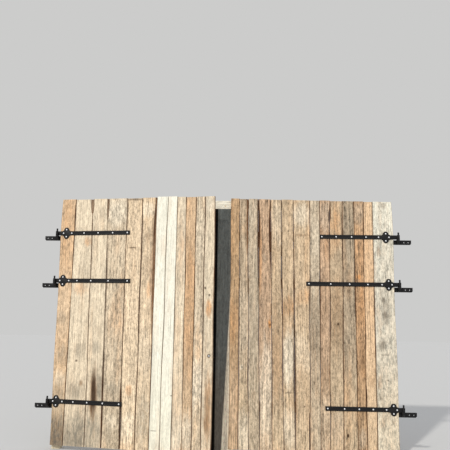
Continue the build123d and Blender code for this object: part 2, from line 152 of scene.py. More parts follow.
@dataclass(frozen=True)
class LeafFrame:
    """A leaf's own axes, and where they stand in the scene at rest.

    Args:
        body: name of the CAD body that the leaf's pieces ride on.
        pin: a point on the hinge line.
        side: which leaf it is.
        turn: angle about +Z from the closed place to the place at rest, in radians.
    """

    body: str
    pin: tuple[float, float]
    side: Side
    turn: float

    @classmethod
    def of(cls, side: Side) -> "LeafFrame":
        """Reads a leaf's frame from the record's hinge joint.

        Args:
            side: which leaf it is.

        Returns:
            The leaf's frame.
        """
        joint = next(entry for entry in frame["joints"] if entry["name"] == f"{side.value}_leaf_hinge")
        closed = joint["range_deg"][0]
        turn = -math.radians(closed) * joint["axis"][2]
        return cls(f"{side.value}_leaf", (joint["pos_m"][0], joint["pos_m"][1]), side, turn)

    def node(self, part: str) -> str:
        """Name of the CAD node of one of the leaf's parts."""
        return f"{self.side.value}_{part}"

    def matrix(self) -> Matrix:
        """Takes a point from the leaf's axes (u, v, z) to the scene.

        Returns:
            The matrix of the leaf at rest.
        """
        forward = -1.0 if self.mirrored else 1.0
        axes = Matrix(((forward, 0, 0, 0), (0, 1, 0, 0), (0, 0, 1, 0), (0, 0, 0, 1)))
        place = Matrix.Translation((self.pin[0], self.pin[1], 0))
        return place @ Matrix.Rotation(self.turn, 4, "Z") @ axes

    def to_scene(self, points: np.ndarray) -> np.ndarray:
        """Points of the leaf's axes in the scene's."""
        m = np.array(self.matrix())
        return points @ m[:3, :3].T + m[:3, 3]

    def to_leaf(self, points: np.ndarray) -> np.ndarray:
        """Points of the scene in the leaf's axes."""
        m = np.array(self.matrix().inverted())
        return points @ m[:3, :3].T + m[:3, 3]

    @property
    def mirrored(self) -> bool:
        """Whether the leaf's axes are left-handed, which turns faces inside out."""
        return self.side is Side.RIGHT


@dataclass(frozen=True)
class TimberFinish:
    """The looks of a timber.

    Args:
        name: name of its material.
        main: colour of the sunned upper part.
        lower: colour low down.
        streak: strength of the long streaks.
        mottle: strength of the mottles.
        speckle: strength of the speckles.
        gloss: specular level.
    """

    name: str
    main: Colour
    lower: Colour
    streak: float = 1.0
    mottle: float = 1.0
    speckle: float = 0.3
    gloss: float = 0.25


class WoodTone(Enum):
    """Named tones of the boards."""

    TAN_ORANGE = TimberFinish("board_tan_orange", srgb(226, 193, 155), srgb(217, 189, 154), 0.9, 0.9, 0.5)
    PALE_BEIGE = TimberFinish("board_pale_beige", srgb(235, 217, 188), srgb(229, 210, 181), 0.8, 0.7, 0.4)
    GREY_BEIGE = TimberFinish("board_grey_beige", srgb(214, 195, 167), srgb(206, 187, 159), 0.9, 1.1, 0.5)
    TAN = TimberFinish("board_tan", srgb(216, 190, 156), srgb(215, 191, 158), 1.0, 1.0, 0.5)
    CREAM = TimberFinish("board_cream", srgb(250, 245, 226), srgb(246, 241, 220), 0.35, 0.35, 0.1)
    OLD_CREAM = TimberFinish("board_old_cream", srgb(250, 246, 226), srgb(250, 240, 214), 0.7, 1.05, 0.25)
    GREY_BROWN = TimberFinish("board_grey_brown", srgb(187, 167, 140), srgb(200, 178, 147), 1.3, 1.1, 0.5)
    RUST = TimberFinish("board_rust", srgb(194, 158, 121), srgb(187, 154, 118), 1.3, 1.2, 0.6)
    PINK_TAN = TimberFinish("board_pink_tan", srgb(200, 169, 138), srgb(210, 186, 156), 1.1, 1.1, 0.7)
    OLIVE_TAN = TimberFinish("board_olive_tan", srgb(198, 165, 127), srgb(204, 174, 140), 1.0, 0.9, 0.4)

    @property
    def slot(self) -> str:
        """Material slot of the record that has this tone."""
        return "board_cream" if self is WoodTone.OLD_CREAM else self.value.name


class Kind(Enum):
    """What a mark does to the wood.

    A value holds the point attribute that the mark writes, that attribute's part, and how ragged the
    mark's edge is. A knot and a crack are dark marks under names of their own.
    """

    WARM = ("tint", 0, 0.35)
    GREY = ("tint", 1, 0.35)
    BROWN = ("tint", 2, 0.35)
    PALE = ("wear", 0, 0.35)
    DARK = ("wear", 1, 0.14)
    KNOT = DARK
    CRACK = DARK
    SPECKLE = ("fleck", 0, 0.35)


@dataclass(frozen=True)
class Mark:
    """One mark on a board's face. A dark one with its middle at a side darkens the seam there.

    Args:
        kind: what it does to the wood.
        across: its middle, from 0 at the board's hinge side to 1 at its free side.
        height: height of its middle, in metres.
        half_width: half its width, as a share of the board's.
        half_length: half its length along the board, in metres.
        strength: how strong it is, up to 1.
    """

    kind: Kind
    across: float
    height: float
    half_width: float
    half_length: float
    strength: float = 1.0


@dataclass(frozen=True)
class BoardLook:
    """A board's tone and its marks, some of them painted shadows of plants.

    Args:
        tone: the named tone it shares with other boards.
        marks: the marks on its face.
        light: how much lighter or darker it is than its tone.
        bark: how dark its waney edges are.
    """

    tone: WoodTone
    marks: tuple[Mark, ...] = ()
    light: float = 1.0
    bark: float = 1.0


# Low on left boards 1 to 4, the grey marks and some faint dark ones are painted shadows of plants, partly
# dirt at the foot.
LEFT_BOARDS = (
    BoardLook(WoodTone.TAN_ORANGE, (
        Mark(Kind.DARK, 1.0, 2.75, 0.08, 0.25, 0.8),
        Mark(Kind.WARM, 0.5, 2.45, 0.8, 0.60, 0.15),
        Mark(Kind.PALE, 0.5, 1.60, 0.8, 0.60, 0.15),
        # The grey marks and the dark mark at the foot of this board are painted shadows of plants, partly
        # dirt at the foot.
        Mark(Kind.GREY, 0.3, 1.50, 0.5, 0.10, 0.5),
        Mark(Kind.GREY, 0.6, 1.08, 0.5, 0.16, 0.6),
        Mark(Kind.PALE, 0.5, 0.80, 0.6, 0.12, 0.4),
        Mark(Kind.GREY, 0.5, 0.55, 0.9, 0.28, 0.5),
        Mark(Kind.GREY, 0.4, 0.18, 1.2, 0.34, 1.0),
        Mark(Kind.DARK, 0.4, 0.14, 1.2, 0.34, 0.36),
    )),
    BoardLook(WoodTone.PALE_BEIGE, (
        Mark(Kind.WARM, 0.8, 2.42, 0.3, 0.08, 0.5),
        Mark(Kind.WARM, 0.5, 1.85, 0.5, 0.10, 0.4),
        # The grey marks and the faint dark ones low on this board are painted shadows of plants, partly
        # dirt at the foot.
        Mark(Kind.GREY, 0.62, 1.12, 0.35, 0.13, 0.55),
        Mark(Kind.KNOT, 0.45, 1.01, 0.08, 0.018, 0.9),
        Mark(Kind.DARK, 0.6, 0.70, 0.5, 0.16, 0.12),
        Mark(Kind.BROWN, 0.75, 0.76, 0.12, 0.05, 0.7),
        Mark(Kind.GREY, 0.4, 0.66, 0.5, 0.12, 0.6),
        Mark(Kind.GREY, 0.5, 0.18, 1.1, 0.30, 0.95),
        Mark(Kind.DARK, 0.4, 0.12, 1.1, 0.18, 0.15),
    ), bark=0.7),
    BoardLook(WoodTone.PALE_BEIGE, (
        # The grey marks and the faint dark one beside them are painted shadows of plants, partly dirt at
        # the foot.
        Mark(Kind.GREY, 0.45, 1.17, 0.4, 0.09, 0.6),
        Mark(Kind.GREY, 0.75, 0.74, 0.4, 0.20, 0.8),
        Mark(Kind.DARK, 0.8, 0.72, 0.4, 0.16, 0.14),
        Mark(Kind.BROWN, 0.46, 0.66, 0.32, 0.38, 1.0),
        Mark(Kind.DARK, 0.46, 0.66, 0.24, 0.34, 0.9),
        Mark(Kind.GREY, 0.5, 0.18, 1.0, 0.28, 0.85),
    ), light=0.98),
    BoardLook(WoodTone.GREY_BEIGE, (
        Mark(Kind.DARK, 0.0, 1.50, 0.06, 1.45, 0.6),
        Mark(Kind.PALE, 0.5, 2.78, 0.8, 0.22, 0.6),
        # The grey marks low on this board are painted shadows of plants, partly dirt at the foot.
        Mark(Kind.GREY, 0.5, 0.71, 0.5, 0.08, 0.6),
        Mark(Kind.WARM, 0.6, 1.55, 0.4, 0.35, 0.25),
        Mark(Kind.PALE, 0.5, 0.35, 0.5, 0.12, 0.3),
        Mark(Kind.GREY, 0.4, 0.20, 0.6, 0.10, 0.4),
    ), light=1.02),
    BoardLook(WoodTone.TAN, (
        Mark(Kind.DARK, 0.0, 0.45, 0.09, 0.50, 0.9),
        Mark(Kind.DARK, 0.5, 2.925, 0.7, 0.018, 0.6),
        Mark(Kind.PALE, 0.5, 1.50, 1.5, 2.20, 0.26),
        Mark(Kind.CRACK, 0.42, 2.34, 0.34, 0.008, 0.8),
        Mark(Kind.BROWN, 0.42, 2.34, 0.40, 0.035, 0.5),
        Mark(Kind.BROWN, 0.5, 0.70, 0.22, 0.05, 0.5),
        Mark(Kind.WARM, 0.5, 0.70, 0.30, 0.07, 0.6),
        Mark(Kind.PALE, 0.5, 0.30, 0.8, 0.24, 0.5),
    ), light=1.12),
    BoardLook(WoodTone.TAN, (
        Mark(Kind.DARK, 0.0, 1.90, 0.09, 1.00, 0.8),
        Mark(Kind.DARK, 1.0, 2.65, 0.10, 0.35, 0.8),
        Mark(Kind.PALE, 0.4, 2.80, 0.8, 0.14, 0.6),
        Mark(Kind.PALE, 0.3, 1.50, 1.2, 2.20, 0.22),
        Mark(Kind.BROWN, 0.55, 2.45, 0.35, 0.10, 0.45),
        Mark(Kind.BROWN, 0.60, 2.12, 0.40, 0.14, 0.45),
        Mark(Kind.BROWN, 0.95, 2.15, 0.28, 0.75, 0.8),
        Mark(Kind.WARM, 0.75, 1.85, 0.3, 0.12, 0.5),
        Mark(Kind.PALE, 0.4, 1.15, 0.8, 0.45, 0.4),
        Mark(Kind.GREY, 0.5, 0.36, 0.7, 0.34, 0.5),
        Mark(Kind.SPECKLE, 0.5, 0.36, 0.9, 0.34, 0.7),
    ), light=1.05),
    BoardLook(WoodTone.CREAM, (
        Mark(Kind.CRACK, 0.4, 0.27, 0.45, 0.006, 0.7),
        Mark(Kind.GREY, 0.5, 0.12, 0.6, 0.06, 0.3),
    ), bark=0.5),
    BoardLook(WoodTone.CREAM, (
        Mark(Kind.CRACK, 0.93, 0.66, 0.10, 0.010, 0.9),
    ), bark=0.5),
    BoardLook(WoodTone.PALE_BEIGE, (
        Mark(Kind.WARM, 0.5, 2.30, 0.7, 0.55, 0.15),
        Mark(Kind.SPECKLE, 0.5, 0.88, 0.8, 0.09, 0.6),
        Mark(Kind.WARM, 0.5, 0.60, 0.7, 0.50, 0.15),
        Mark(Kind.PALE, 0.5, 0.25, 0.9, 0.30, 0.5),
    ), bark=0.7),
    BoardLook(WoodTone.TAN_ORANGE, (
        Mark(Kind.BROWN, 0.5, 2.10, 0.45, 0.36, 0.4),
        Mark(Kind.WARM, 0.5, 1.70, 1.0, 1.00, 0.3),
        Mark(Kind.SPECKLE, 0.5, 0.38, 0.9, 0.34, 0.9),
        Mark(Kind.BROWN, 0.5, 1.20, 0.4, 0.28, 0.3),
        Mark(Kind.PALE, 0.5, 0.28, 0.9, 0.30, 0.7),
    ), light=0.93, bark=0.75),
    BoardLook(WoodTone.GREY_BEIGE, (
        Mark(Kind.SPECKLE, 0.5, 0.33, 0.9, 0.24, 1.0),
        Mark(Kind.GREY, 0.5, 1.90, 0.6, 0.60, 0.3),
        Mark(Kind.WARM, 0.5, 1.20, 0.6, 0.40, 0.2),
        Mark(Kind.PALE, 0.5, 0.80, 1.0, 0.36, 0.6),
        Mark(Kind.PALE, 0.5, 2.50, 0.8, 0.40, 0.2),
    ), light=1.06),
    BoardLook(WoodTone.PALE_BEIGE, (
        Mark(Kind.DARK, 0.0, 1.20, 0.08, 0.80, 0.7),
        Mark(Kind.PALE, 0.5, 2.85, 0.7, 0.16, 0.6),
        Mark(Kind.KNOT, 0.15, 1.87, 0.13, 0.020, 1.0),
        Mark(Kind.KNOT, 0.60, 1.79, 0.15, 0.020, 0.9),
        Mark(Kind.WARM, 0.55, 1.64, 0.4, 0.13, 0.9),
        Mark(Kind.BROWN, 0.30, 1.20, 0.12, 0.30, 0.4),
        Mark(Kind.BROWN, 0.55, 0.50, 0.40, 0.50, 0.8),
        Mark(Kind.WARM, 0.70, 0.55, 0.45, 0.50, 0.4),
        Mark(Kind.SPECKLE, 0.5, 0.30, 0.8, 0.28, 0.7),
    ), light=0.95),
)

RIGHT_BOARDS = (
    BoardLook(WoodTone.OLD_CREAM, (
        Mark(Kind.BROWN, 0.43, 2.90, 0.20, 0.05, 0.5),
        Mark(Kind.GREY, 0.39, 2.67, 0.10, 0.04, 0.5),
        Mark(Kind.BROWN, 0.73, 2.34, 0.18, 0.10, 0.5),
        Mark(Kind.DARK, 0.55, 1.77, 0.11, 0.045, 0.55),
        Mark(Kind.GREY, 0.45, 1.66, 0.35, 0.20, 0.55),
        Mark(Kind.DARK, 0.50, 1.59, 0.22, 0.06, 0.42),
        Mark(Kind.DARK, 0.44, 1.52, 0.10, 0.05, 0.38),
        Mark(Kind.GREY, 0.65, 1.25, 0.24, 0.09, 0.75),
        Mark(Kind.DARK, 0.65, 1.25, 0.17, 0.06, 0.3),
        Mark(Kind.DARK, 0.55, 1.14, 0.26, 0.018, 0.35),
        Mark(Kind.WARM, 0.85, 0.83, 0.20, 0.14, 0.35),
        Mark(Kind.BROWN, 0.88, 0.80, 0.14, 0.08, 0.5),
        Mark(Kind.KNOT, 0.47, 0.85, 0.05, 0.014, 0.6),
        Mark(Kind.DARK, 0.85, 0.66, 0.12, 0.05, 0.4),
        Mark(Kind.BROWN, 0.25, 0.39, 0.11, 0.03, 0.6),
        Mark(Kind.WARM, 0.75, 0.37, 0.25, 0.08, 0.3),
        Mark(Kind.WARM, 0.30, 1.20, 1.20, 2.20, 0.16),
        Mark(Kind.BROWN, 0.5, 1.0, 1.2, 1.9, 0.18),
        Mark(Kind.SPECKLE, 0.5, 0.70, 0.9, 0.60, 0.6),
    ), light=0.86),
    BoardLook(WoodTone.TAN_ORANGE, (
        Mark(Kind.DARK, 0.0, 1.75, 0.08, 0.40, 0.7),
        Mark(Kind.DARK, 1.0, 0.68, 0.09, 0.14, 0.9),
        Mark(Kind.WARM, 0.5, 2.10, 0.8, 0.80, 0.12),
        Mark(Kind.SPECKLE, 0.5, 0.83, 0.9, 0.14, 1.0),
        Mark(Kind.BROWN, 0.5, 0.83, 0.5, 0.10, 0.4),
    ), light=1.08, bark=0.75),
    BoardLook(WoodTone.RUST, (
        Mark(Kind.DARK, 1.0, 2.20, 0.07, 0.70, 0.6),
        Mark(Kind.WARM, 0.62, 2.04, 0.34, 0.045, 1.0),
        Mark(Kind.PALE, 0.5, 2.80, 0.9, 0.18, 0.3),
        Mark(Kind.WARM, 0.50, 1.80, 0.60, 0.60, 0.25),
        Mark(Kind.DARK, 0.35, 1.08, 0.30, 0.06, 0.4),
        Mark(Kind.BROWN, 0.45, 1.10, 0.60, 0.30, 0.5),
        Mark(Kind.PALE, 0.5, 0.20, 0.8, 0.16, 0.3),
    )),
    BoardLook(WoodTone.GREY_BROWN, (
        Mark(Kind.GREY, 0.5, 2.55, 0.7, 0.38, 0.35),
        Mark(Kind.WARM, 0.5, 0.50, 0.7, 0.50, 0.1),
        Mark(Kind.KNOT, 0.72, 0.23, 0.13, 0.028, 1.0),
        Mark(Kind.BROWN, 0.55, 1.95, 0.25, 0.30, 0.3),
    ), light=0.95),
    BoardLook(WoodTone.TAN, (
        Mark(Kind.WARM, 0.5, 2.60, 0.7, 0.35, 0.35),
        Mark(Kind.WARM, 0.5, 1.85, 0.6, 0.30, 0.15),
        Mark(Kind.KNOT, 0.38, 1.48, 0.11, 0.022, 0.9),
        Mark(Kind.BROWN, 0.5, 1.50, 0.8, 0.50, 0.55),
        Mark(Kind.PALE, 0.5, 0.30, 0.8, 0.28, 0.3),
        Mark(Kind.WARM, 0.5, 0.25, 0.8, 0.25, 0.25),
    ), light=0.88),
    BoardLook(WoodTone.PINK_TAN, (
        Mark(Kind.DARK, 1.0, 1.80, 0.07, 0.45, 0.8),
        Mark(Kind.DARK, 0.0, 2.77, 0.12, 0.11, 1.0),
        Mark(Kind.DARK, 1.0, 2.50, 0.06, 0.38, 0.6),
        Mark(Kind.BROWN, 0.5, 1.75, 0.5, 0.40, 0.2),
        Mark(Kind.BROWN, 0.5, 0.85, 0.9, 0.30, 0.4),
        Mark(Kind.WARM, 0.5, 2.50, 0.6, 0.40, 0.1),
        Mark(Kind.PALE, 0.5, 2.75, 0.9, 0.25, 0.3),
    ), light=0.97),
    BoardLook(WoodTone.GREY_BEIGE, (
        Mark(Kind.DARK, 0.0, 1.80, 0.08, 0.45, 0.9),
        Mark(Kind.DARK, 1.0, 1.80, 0.07, 0.35, 0.7),
        Mark(Kind.GREY, 0.5, 2.30, 0.8, 0.70, 0.2),
        Mark(Kind.GREY, 0.5, 1.45, 1.0, 0.50, 0.6),
        Mark(Kind.BROWN, 0.5, 1.20, 0.9, 0.90, 0.4),
        Mark(Kind.PALE, 0.5, 2.50, 0.9, 0.30, 0.2),
    ), bark=0.8),
    BoardLook(WoodTone.TAN, (
        Mark(Kind.DARK, 0.0, 1.80, 0.06, 0.35, 0.7),
        Mark(Kind.DARK, 1.0, 1.15, 0.06, 1.00, 0.7),
        Mark(Kind.PALE, 0.5, 2.78, 0.8, 0.20, 0.6),
        Mark(Kind.BROWN, 0.5, 2.53, 0.7, 0.022, 0.5),
        Mark(Kind.WARM, 0.5, 1.78, 0.6, 0.14, 0.3),
        Mark(Kind.SPECKLE, 0.33, 1.16, 0.08, 0.40, 1.0),
        Mark(Kind.KNOT, 0.38, 0.54, 0.06, 0.014, 0.9),
        Mark(Kind.PALE, 0.5, 1.15, 0.8, 0.30, 0.3),
        Mark(Kind.BROWN, 0.5, 0.60, 0.9, 0.40, 0.2),
    )),
    BoardLook(WoodTone.TAN, (
        Mark(Kind.DARK, 1.0, 2.20, 0.07, 0.90, 0.7),
        Mark(Kind.DARK, 0.0, 1.15, 0.09, 1.00, 0.85),
        Mark(Kind.KNOT, 0.42, 2.58, 0.10, 0.012, 0.8),
        Mark(Kind.WARM, 0.5, 1.68, 0.7, 0.15, 0.32),
        Mark(Kind.BROWN, 0.5, 1.70, 0.8, 0.15, 0.3),
        Mark(Kind.PALE, 0.5, 1.08, 0.9, 0.42, 0.8),
        Mark(Kind.CRACK, 0.5, 0.69, 0.5, 0.006, 0.7),
        Mark(Kind.PALE, 0.5, 0.30, 0.9, 0.30, 0.5),
    ), light=0.97),
    BoardLook(WoodTone.TAN, (
        Mark(Kind.DARK, 0.0, 2.20, 0.08, 0.90, 0.8),
        Mark(Kind.DARK, 0.0, 1.30, 0.07, 1.20, 0.6),
        Mark(Kind.WARM, 0.5, 0.90, 0.7, 0.60, 0.15),
        Mark(Kind.BROWN, 0.5, 1.20, 0.9, 0.80, 0.45),
        Mark(Kind.PALE, 0.5, 2.70, 0.9, 0.40, 0.35),
    ), light=0.94),
    BoardLook(WoodTone.PINK_TAN, (
        Mark(Kind.DARK, 1.0, 2.66, 0.13, 0.42, 0.95),
        Mark(Kind.DARK, 0.0, 2.58, 0.12, 0.40, 0.9),
        Mark(Kind.WARM, 0.90, 2.30, 0.20, 0.60, 0.45),
        Mark(Kind.BROWN, 0.95, 2.25, 0.12, 0.60, 0.4),
        Mark(Kind.GREY, 0.5, 2.25, 0.3, 0.08, 0.4),
        Mark(Kind.KNOT, 0.10, 1.46, 0.10, 0.020, 0.8),
        Mark(Kind.WARM, 0.12, 1.47, 0.20, 0.06, 1.0),
        Mark(Kind.SPECKLE, 0.5, 0.60, 0.9, 0.55, 0.6),
        Mark(Kind.PALE, 0.5, 0.75, 0.9, 0.75, 0.55),
    )),
    BoardLook(WoodTone.GREY_BEIGE, (
        Mark(Kind.PALE, 0.5, 2.80, 0.6, 0.20, 0.3),
        Mark(Kind.GREY, 0.5, 1.60, 1.0, 1.20, 0.3),
        Mark(Kind.BROWN, 0.5, 0.65, 0.3, 0.10, 0.3),
    ), light=0.92),
    BoardLook(WoodTone.GREY_BROWN, (
        Mark(Kind.DARK, 0.0, 0.75, 0.07, 0.40, 0.6),
        Mark(Kind.BROWN, 0.05, 2.55, 0.35, 0.38, 0.5),
        Mark(Kind.PALE, 0.5, 1.50, 0.7, 0.70, 0.2),
        Mark(Kind.KNOT, 0.65, 0.97, 0.12, 0.016, 0.7),
        Mark(Kind.PALE, 0.65, 0.97, 0.30, 0.040, 0.6),
        Mark(Kind.PALE, 0.5, 0.22, 0.9, 0.32, 0.6),
    ), light=1.08),
    BoardLook(WoodTone.OLIVE_TAN, (
        Mark(Kind.WARM, 0.6, 1.50, 0.7, 0.30, 0.3),
        Mark(Kind.PALE, 0.5, 0.60, 0.6, 0.50, 0.1),
        Mark(Kind.BROWN, 0.2, 2.60, 0.3, 0.30, 0.3),
    ), bark=0.8),
)


def mesh_points(mesh: bpy.types.Mesh) -> np.ndarray:
    """Reads a mesh's vertices.

    Args:
        mesh: the mesh.

    Returns:
        Its vertices, one row each.
    """
    points = np.empty(len(mesh.vertices) * 3)
    mesh.vertices.foreach_get("co", points)
    return points.reshape(-1, 3)


def node_mesh(name: str) -> tuple[np.ndarray, Faces]:
    """Vertices of a CAD node in the scene, and its faces."""
    mesh = frame["nodes"][name].data
    return mesh_points(mesh), [tuple(polygon.vertices) for polygon in mesh.polygons]


def new_mesh(name: str, points: np.ndarray, faces: Faces) -> bpy.types.Mesh:
    """Makes a mesh from its points and faces.

    Args:
        name: its name.
        points: its vertices in the scene, one row each.
        faces: its faces.

    Returns:
        The mesh.
    """
    mesh = bpy.data.meshes.new(name)
    mesh.from_pydata(points.tolist(), [], faces)
    return mesh


def new_object(name: str, mesh: bpy.types.Mesh) -> bpy.types.Object:
    """Makes an object at the origin and links it to the scene.

    Args:
        name: its name.
        mesh: its mesh.

    Returns:
        The object.
    """
    piece = bpy.data.objects.new(name, mesh)
    bpy.context.scene.collection.objects.link(piece)
    return piece


def shade_smooth(mesh: bpy.types.Mesh, angle: float) -> None:
    """Shades a mesh smooth and keeps its sharp edges.

    Args:
        mesh: the mesh.
        angle: an edge that turns by more than this stays sharp, in radians.
    """
    bm = bmesh.new()
    bm.from_mesh(mesh)
    for face in bm.faces:
        face.smooth = True
    for edge in bm.edges:
        edge.smooth = len(edge.link_faces) == 2 and edge.calc_face_angle(0.0) < angle
    bm.to_mesh(mesh)
    bm.free()


def set_vectors(mesh: bpy.types.Mesh, name: str, values: np.ndarray) -> None:
    """Writes a point attribute of vectors."""
    attribute = mesh.attributes.new(name, "FLOAT_VECTOR", "POINT")
    attribute.data.foreach_set("vector", np.ascontiguousarray(values, dtype=np.float32).ravel())


def apply_modifiers(piece: bpy.types.Object) -> None:
    """Evaluates a piece's modifiers into its mesh and takes them off.

    Args:
        piece: the piece.
    """
    graph = bpy.context.evaluated_depsgraph_get()
    graph.update()
    evaluated = bpy.data.meshes.new_from_object(piece.evaluated_get(graph), depsgraph=graph)
    piece.modifiers.clear()
    old = piece.data
    evaluated.name = old.name
    piece.data = evaluated
    bpy.data.meshes.remove(old)


class Change(Enum):
    """What a closed shape does to a piece, in the Boolean modifier's own words."""

    JOIN = "UNION"
    CUT = "DIFFERENCE"


def combine(piece: bpy.types.Object, shape: bpy.types.Mesh, operation: Change) -> None:
    """Joins a closed shape to a piece, or takes it away from the piece.

    Args:
        piece: the piece that changes.
        shape: the closed shape, in the scene.
        operation: what the shape does.
    """
    other = new_object(shape.name, shape)
    change = piece.modifiers.new("change", "BOOLEAN")
    change.object = other
    change.operation = operation.value
    change.solver = "EXACT"
    apply_modifiers(piece)
    bpy.data.objects.remove(other)


def stand_for(piece: bpy.types.Object, node: str, body: str) -> None:
    """Puts a finished piece in its CAD node's place and reports it.

    Args:
        piece: the finished piece.
        node: the CAD node that it stands for.
        body: the CAD body that it rides on.
    """
    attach(piece, body)
    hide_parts(node)
    log.info("%s: %d faces", node, len(piece.data.polygons))


@dataclass(frozen=True)
class Span:
    """A smooth step of a value.

    Args:
        low: where the step begins.
        high: where it ends.
        start: the result up to low.
        end: the result from high on.
    """

    low: float
    high: float
    start: float = 0.0
    end: float = 1.0


@dataclass(frozen=True)
class NoiseLayer:
    """One layer of noise in a material.

    Args:
        waves: its waves in a metre along each axis.
        detail: how many finer layers it has.
        roughness: how strong those are.
        distortion: how much it is warped.
    """

    waves: tuple[float, float, float]
    detail: float
    roughness: float = 0.55
    distortion: float = 0.0


Value = bpy.types.NodeSocket | bpy.types.Material | Colour | tuple[float, float, float] | float | str


class GraphBuilder:
    """Short ways to add nodes to a node tree. A value is an output that is linked, or a fixed value."""

    def __init__(self, tree: bpy.types.NodeTree) -> None:
        """Works on the given tree."""
        self.tree = tree

    def add(self, kind: str, **settings: str | bool | bpy.types.NodeTree) -> bpy.types.Node:
        """Adds a node.

        Args:
            kind: the node's type.
            settings: the node's properties and their values.

        Returns:
            The node.
        """
        node = self.tree.nodes.new(kind)
        for name, value in settings.items():
            setattr(node, name, value)
        return node

    def put(self, node: bpy.types.Node, inputs: dict[str | int, Value]) -> None:
        """Gives a node's inputs their values.

        Args:
            node: the node.
            inputs: a value for each input, by the input's name or number.
        """
        for socket, value in inputs.items():
            if isinstance(value, bpy.types.NodeSocket):
                self.tree.links.new(value, node.inputs[socket])
            else:
                node.inputs[socket].default_value = value

    def maths(
        self, operation: str, first: Value, second: Value, clamp: bool = False,
    ) -> bpy.types.NodeSocket:
        """Takes one step of arithmetic.

        Args:
            operation: what is done, in the node's own words.
            first: the first value.
            second: the second value.
            clamp: whether the result is kept between 0 and 1.

        Returns:
            The result's output.
        """
        node = self.add("ShaderNodeMath", operation=operation, use_clamp=clamp)
        self.put(node, {0: first, 1: second})
        return node.outputs[0]

    def blend(self, share: Value, first: Value, second: Value) -> bpy.types.NodeSocket:
        """Mixes two colours.

        Args:
            share: how much of the second there is.
            first: the colour at share 0.
            second: the colour at share 1.

        Returns:
            The mixed colour's output.
        """
        node = self.add("ShaderNodeMix", data_type="RGBA", clamp_factor=True)
        self.put(node, {"Factor": share, 6: first, 7: second})
        return node.outputs[2]

    def step(self, value: bpy.types.NodeSocket, span: Span) -> bpy.types.NodeSocket:
        """Steps a value smoothly.

        Args:
            value: the value's output.
            span: the step.

        Returns:
            The result's output.
        """
        node = self.add("ShaderNodeMapRange", interpolation_type="SMOOTHSTEP")
        self.put(node, {"Value": value, "From Min": span.low, "From Max": span.high,
                        "To Min": span.start, "To Max": span.end})
        return node.outputs["Result"]

    def noise(self, place: bpy.types.NodeSocket, layer: NoiseLayer) -> bpy.types.NodeSocket:
        """Adds a layer of noise.

        Args:
            place: the place's output, in metres.
            layer: the noise.

        Returns:
            The noise's output, from 0 to 1.
        """
        spread = self.add("ShaderNodeVectorMath", operation="MULTIPLY")
        self.put(spread, {0: place, 1: layer.waves})
        node = self.add("ShaderNodeTexNoise", noise_dimensions="3D")
        self.put(node, {"Vector": spread.outputs[0], "Scale": 1.0, "Detail": layer.detail,
                        "Roughness": layer.roughness, "Distortion": layer.distortion})
        return node.outputs[0]

    def bump(self, height: bpy.types.NodeSocket, depth: float, strength: float) -> bpy.types.NodeSocket:
        """Adds a surface's relief.

        Args:
            height: the height's output, from 0 to 1.
            depth: how deep the relief is, in metres.
            strength: how strong it is.

        Returns:
            The normal's output.
        """
        node = self.add("ShaderNodeBump")
        self.put(node, {"Height": height, "Distance": depth, "Strength": strength})
        return node.outputs[0]


WOOD_INPUTS = {
    "Main": "NodeSocketColor",
    "Lower": "NodeSocketColor",
    "Streak": "NodeSocketFloat",
    "Mottle": "NodeSocketFloat",
    "Speckle": "NodeSocketFloat",
}


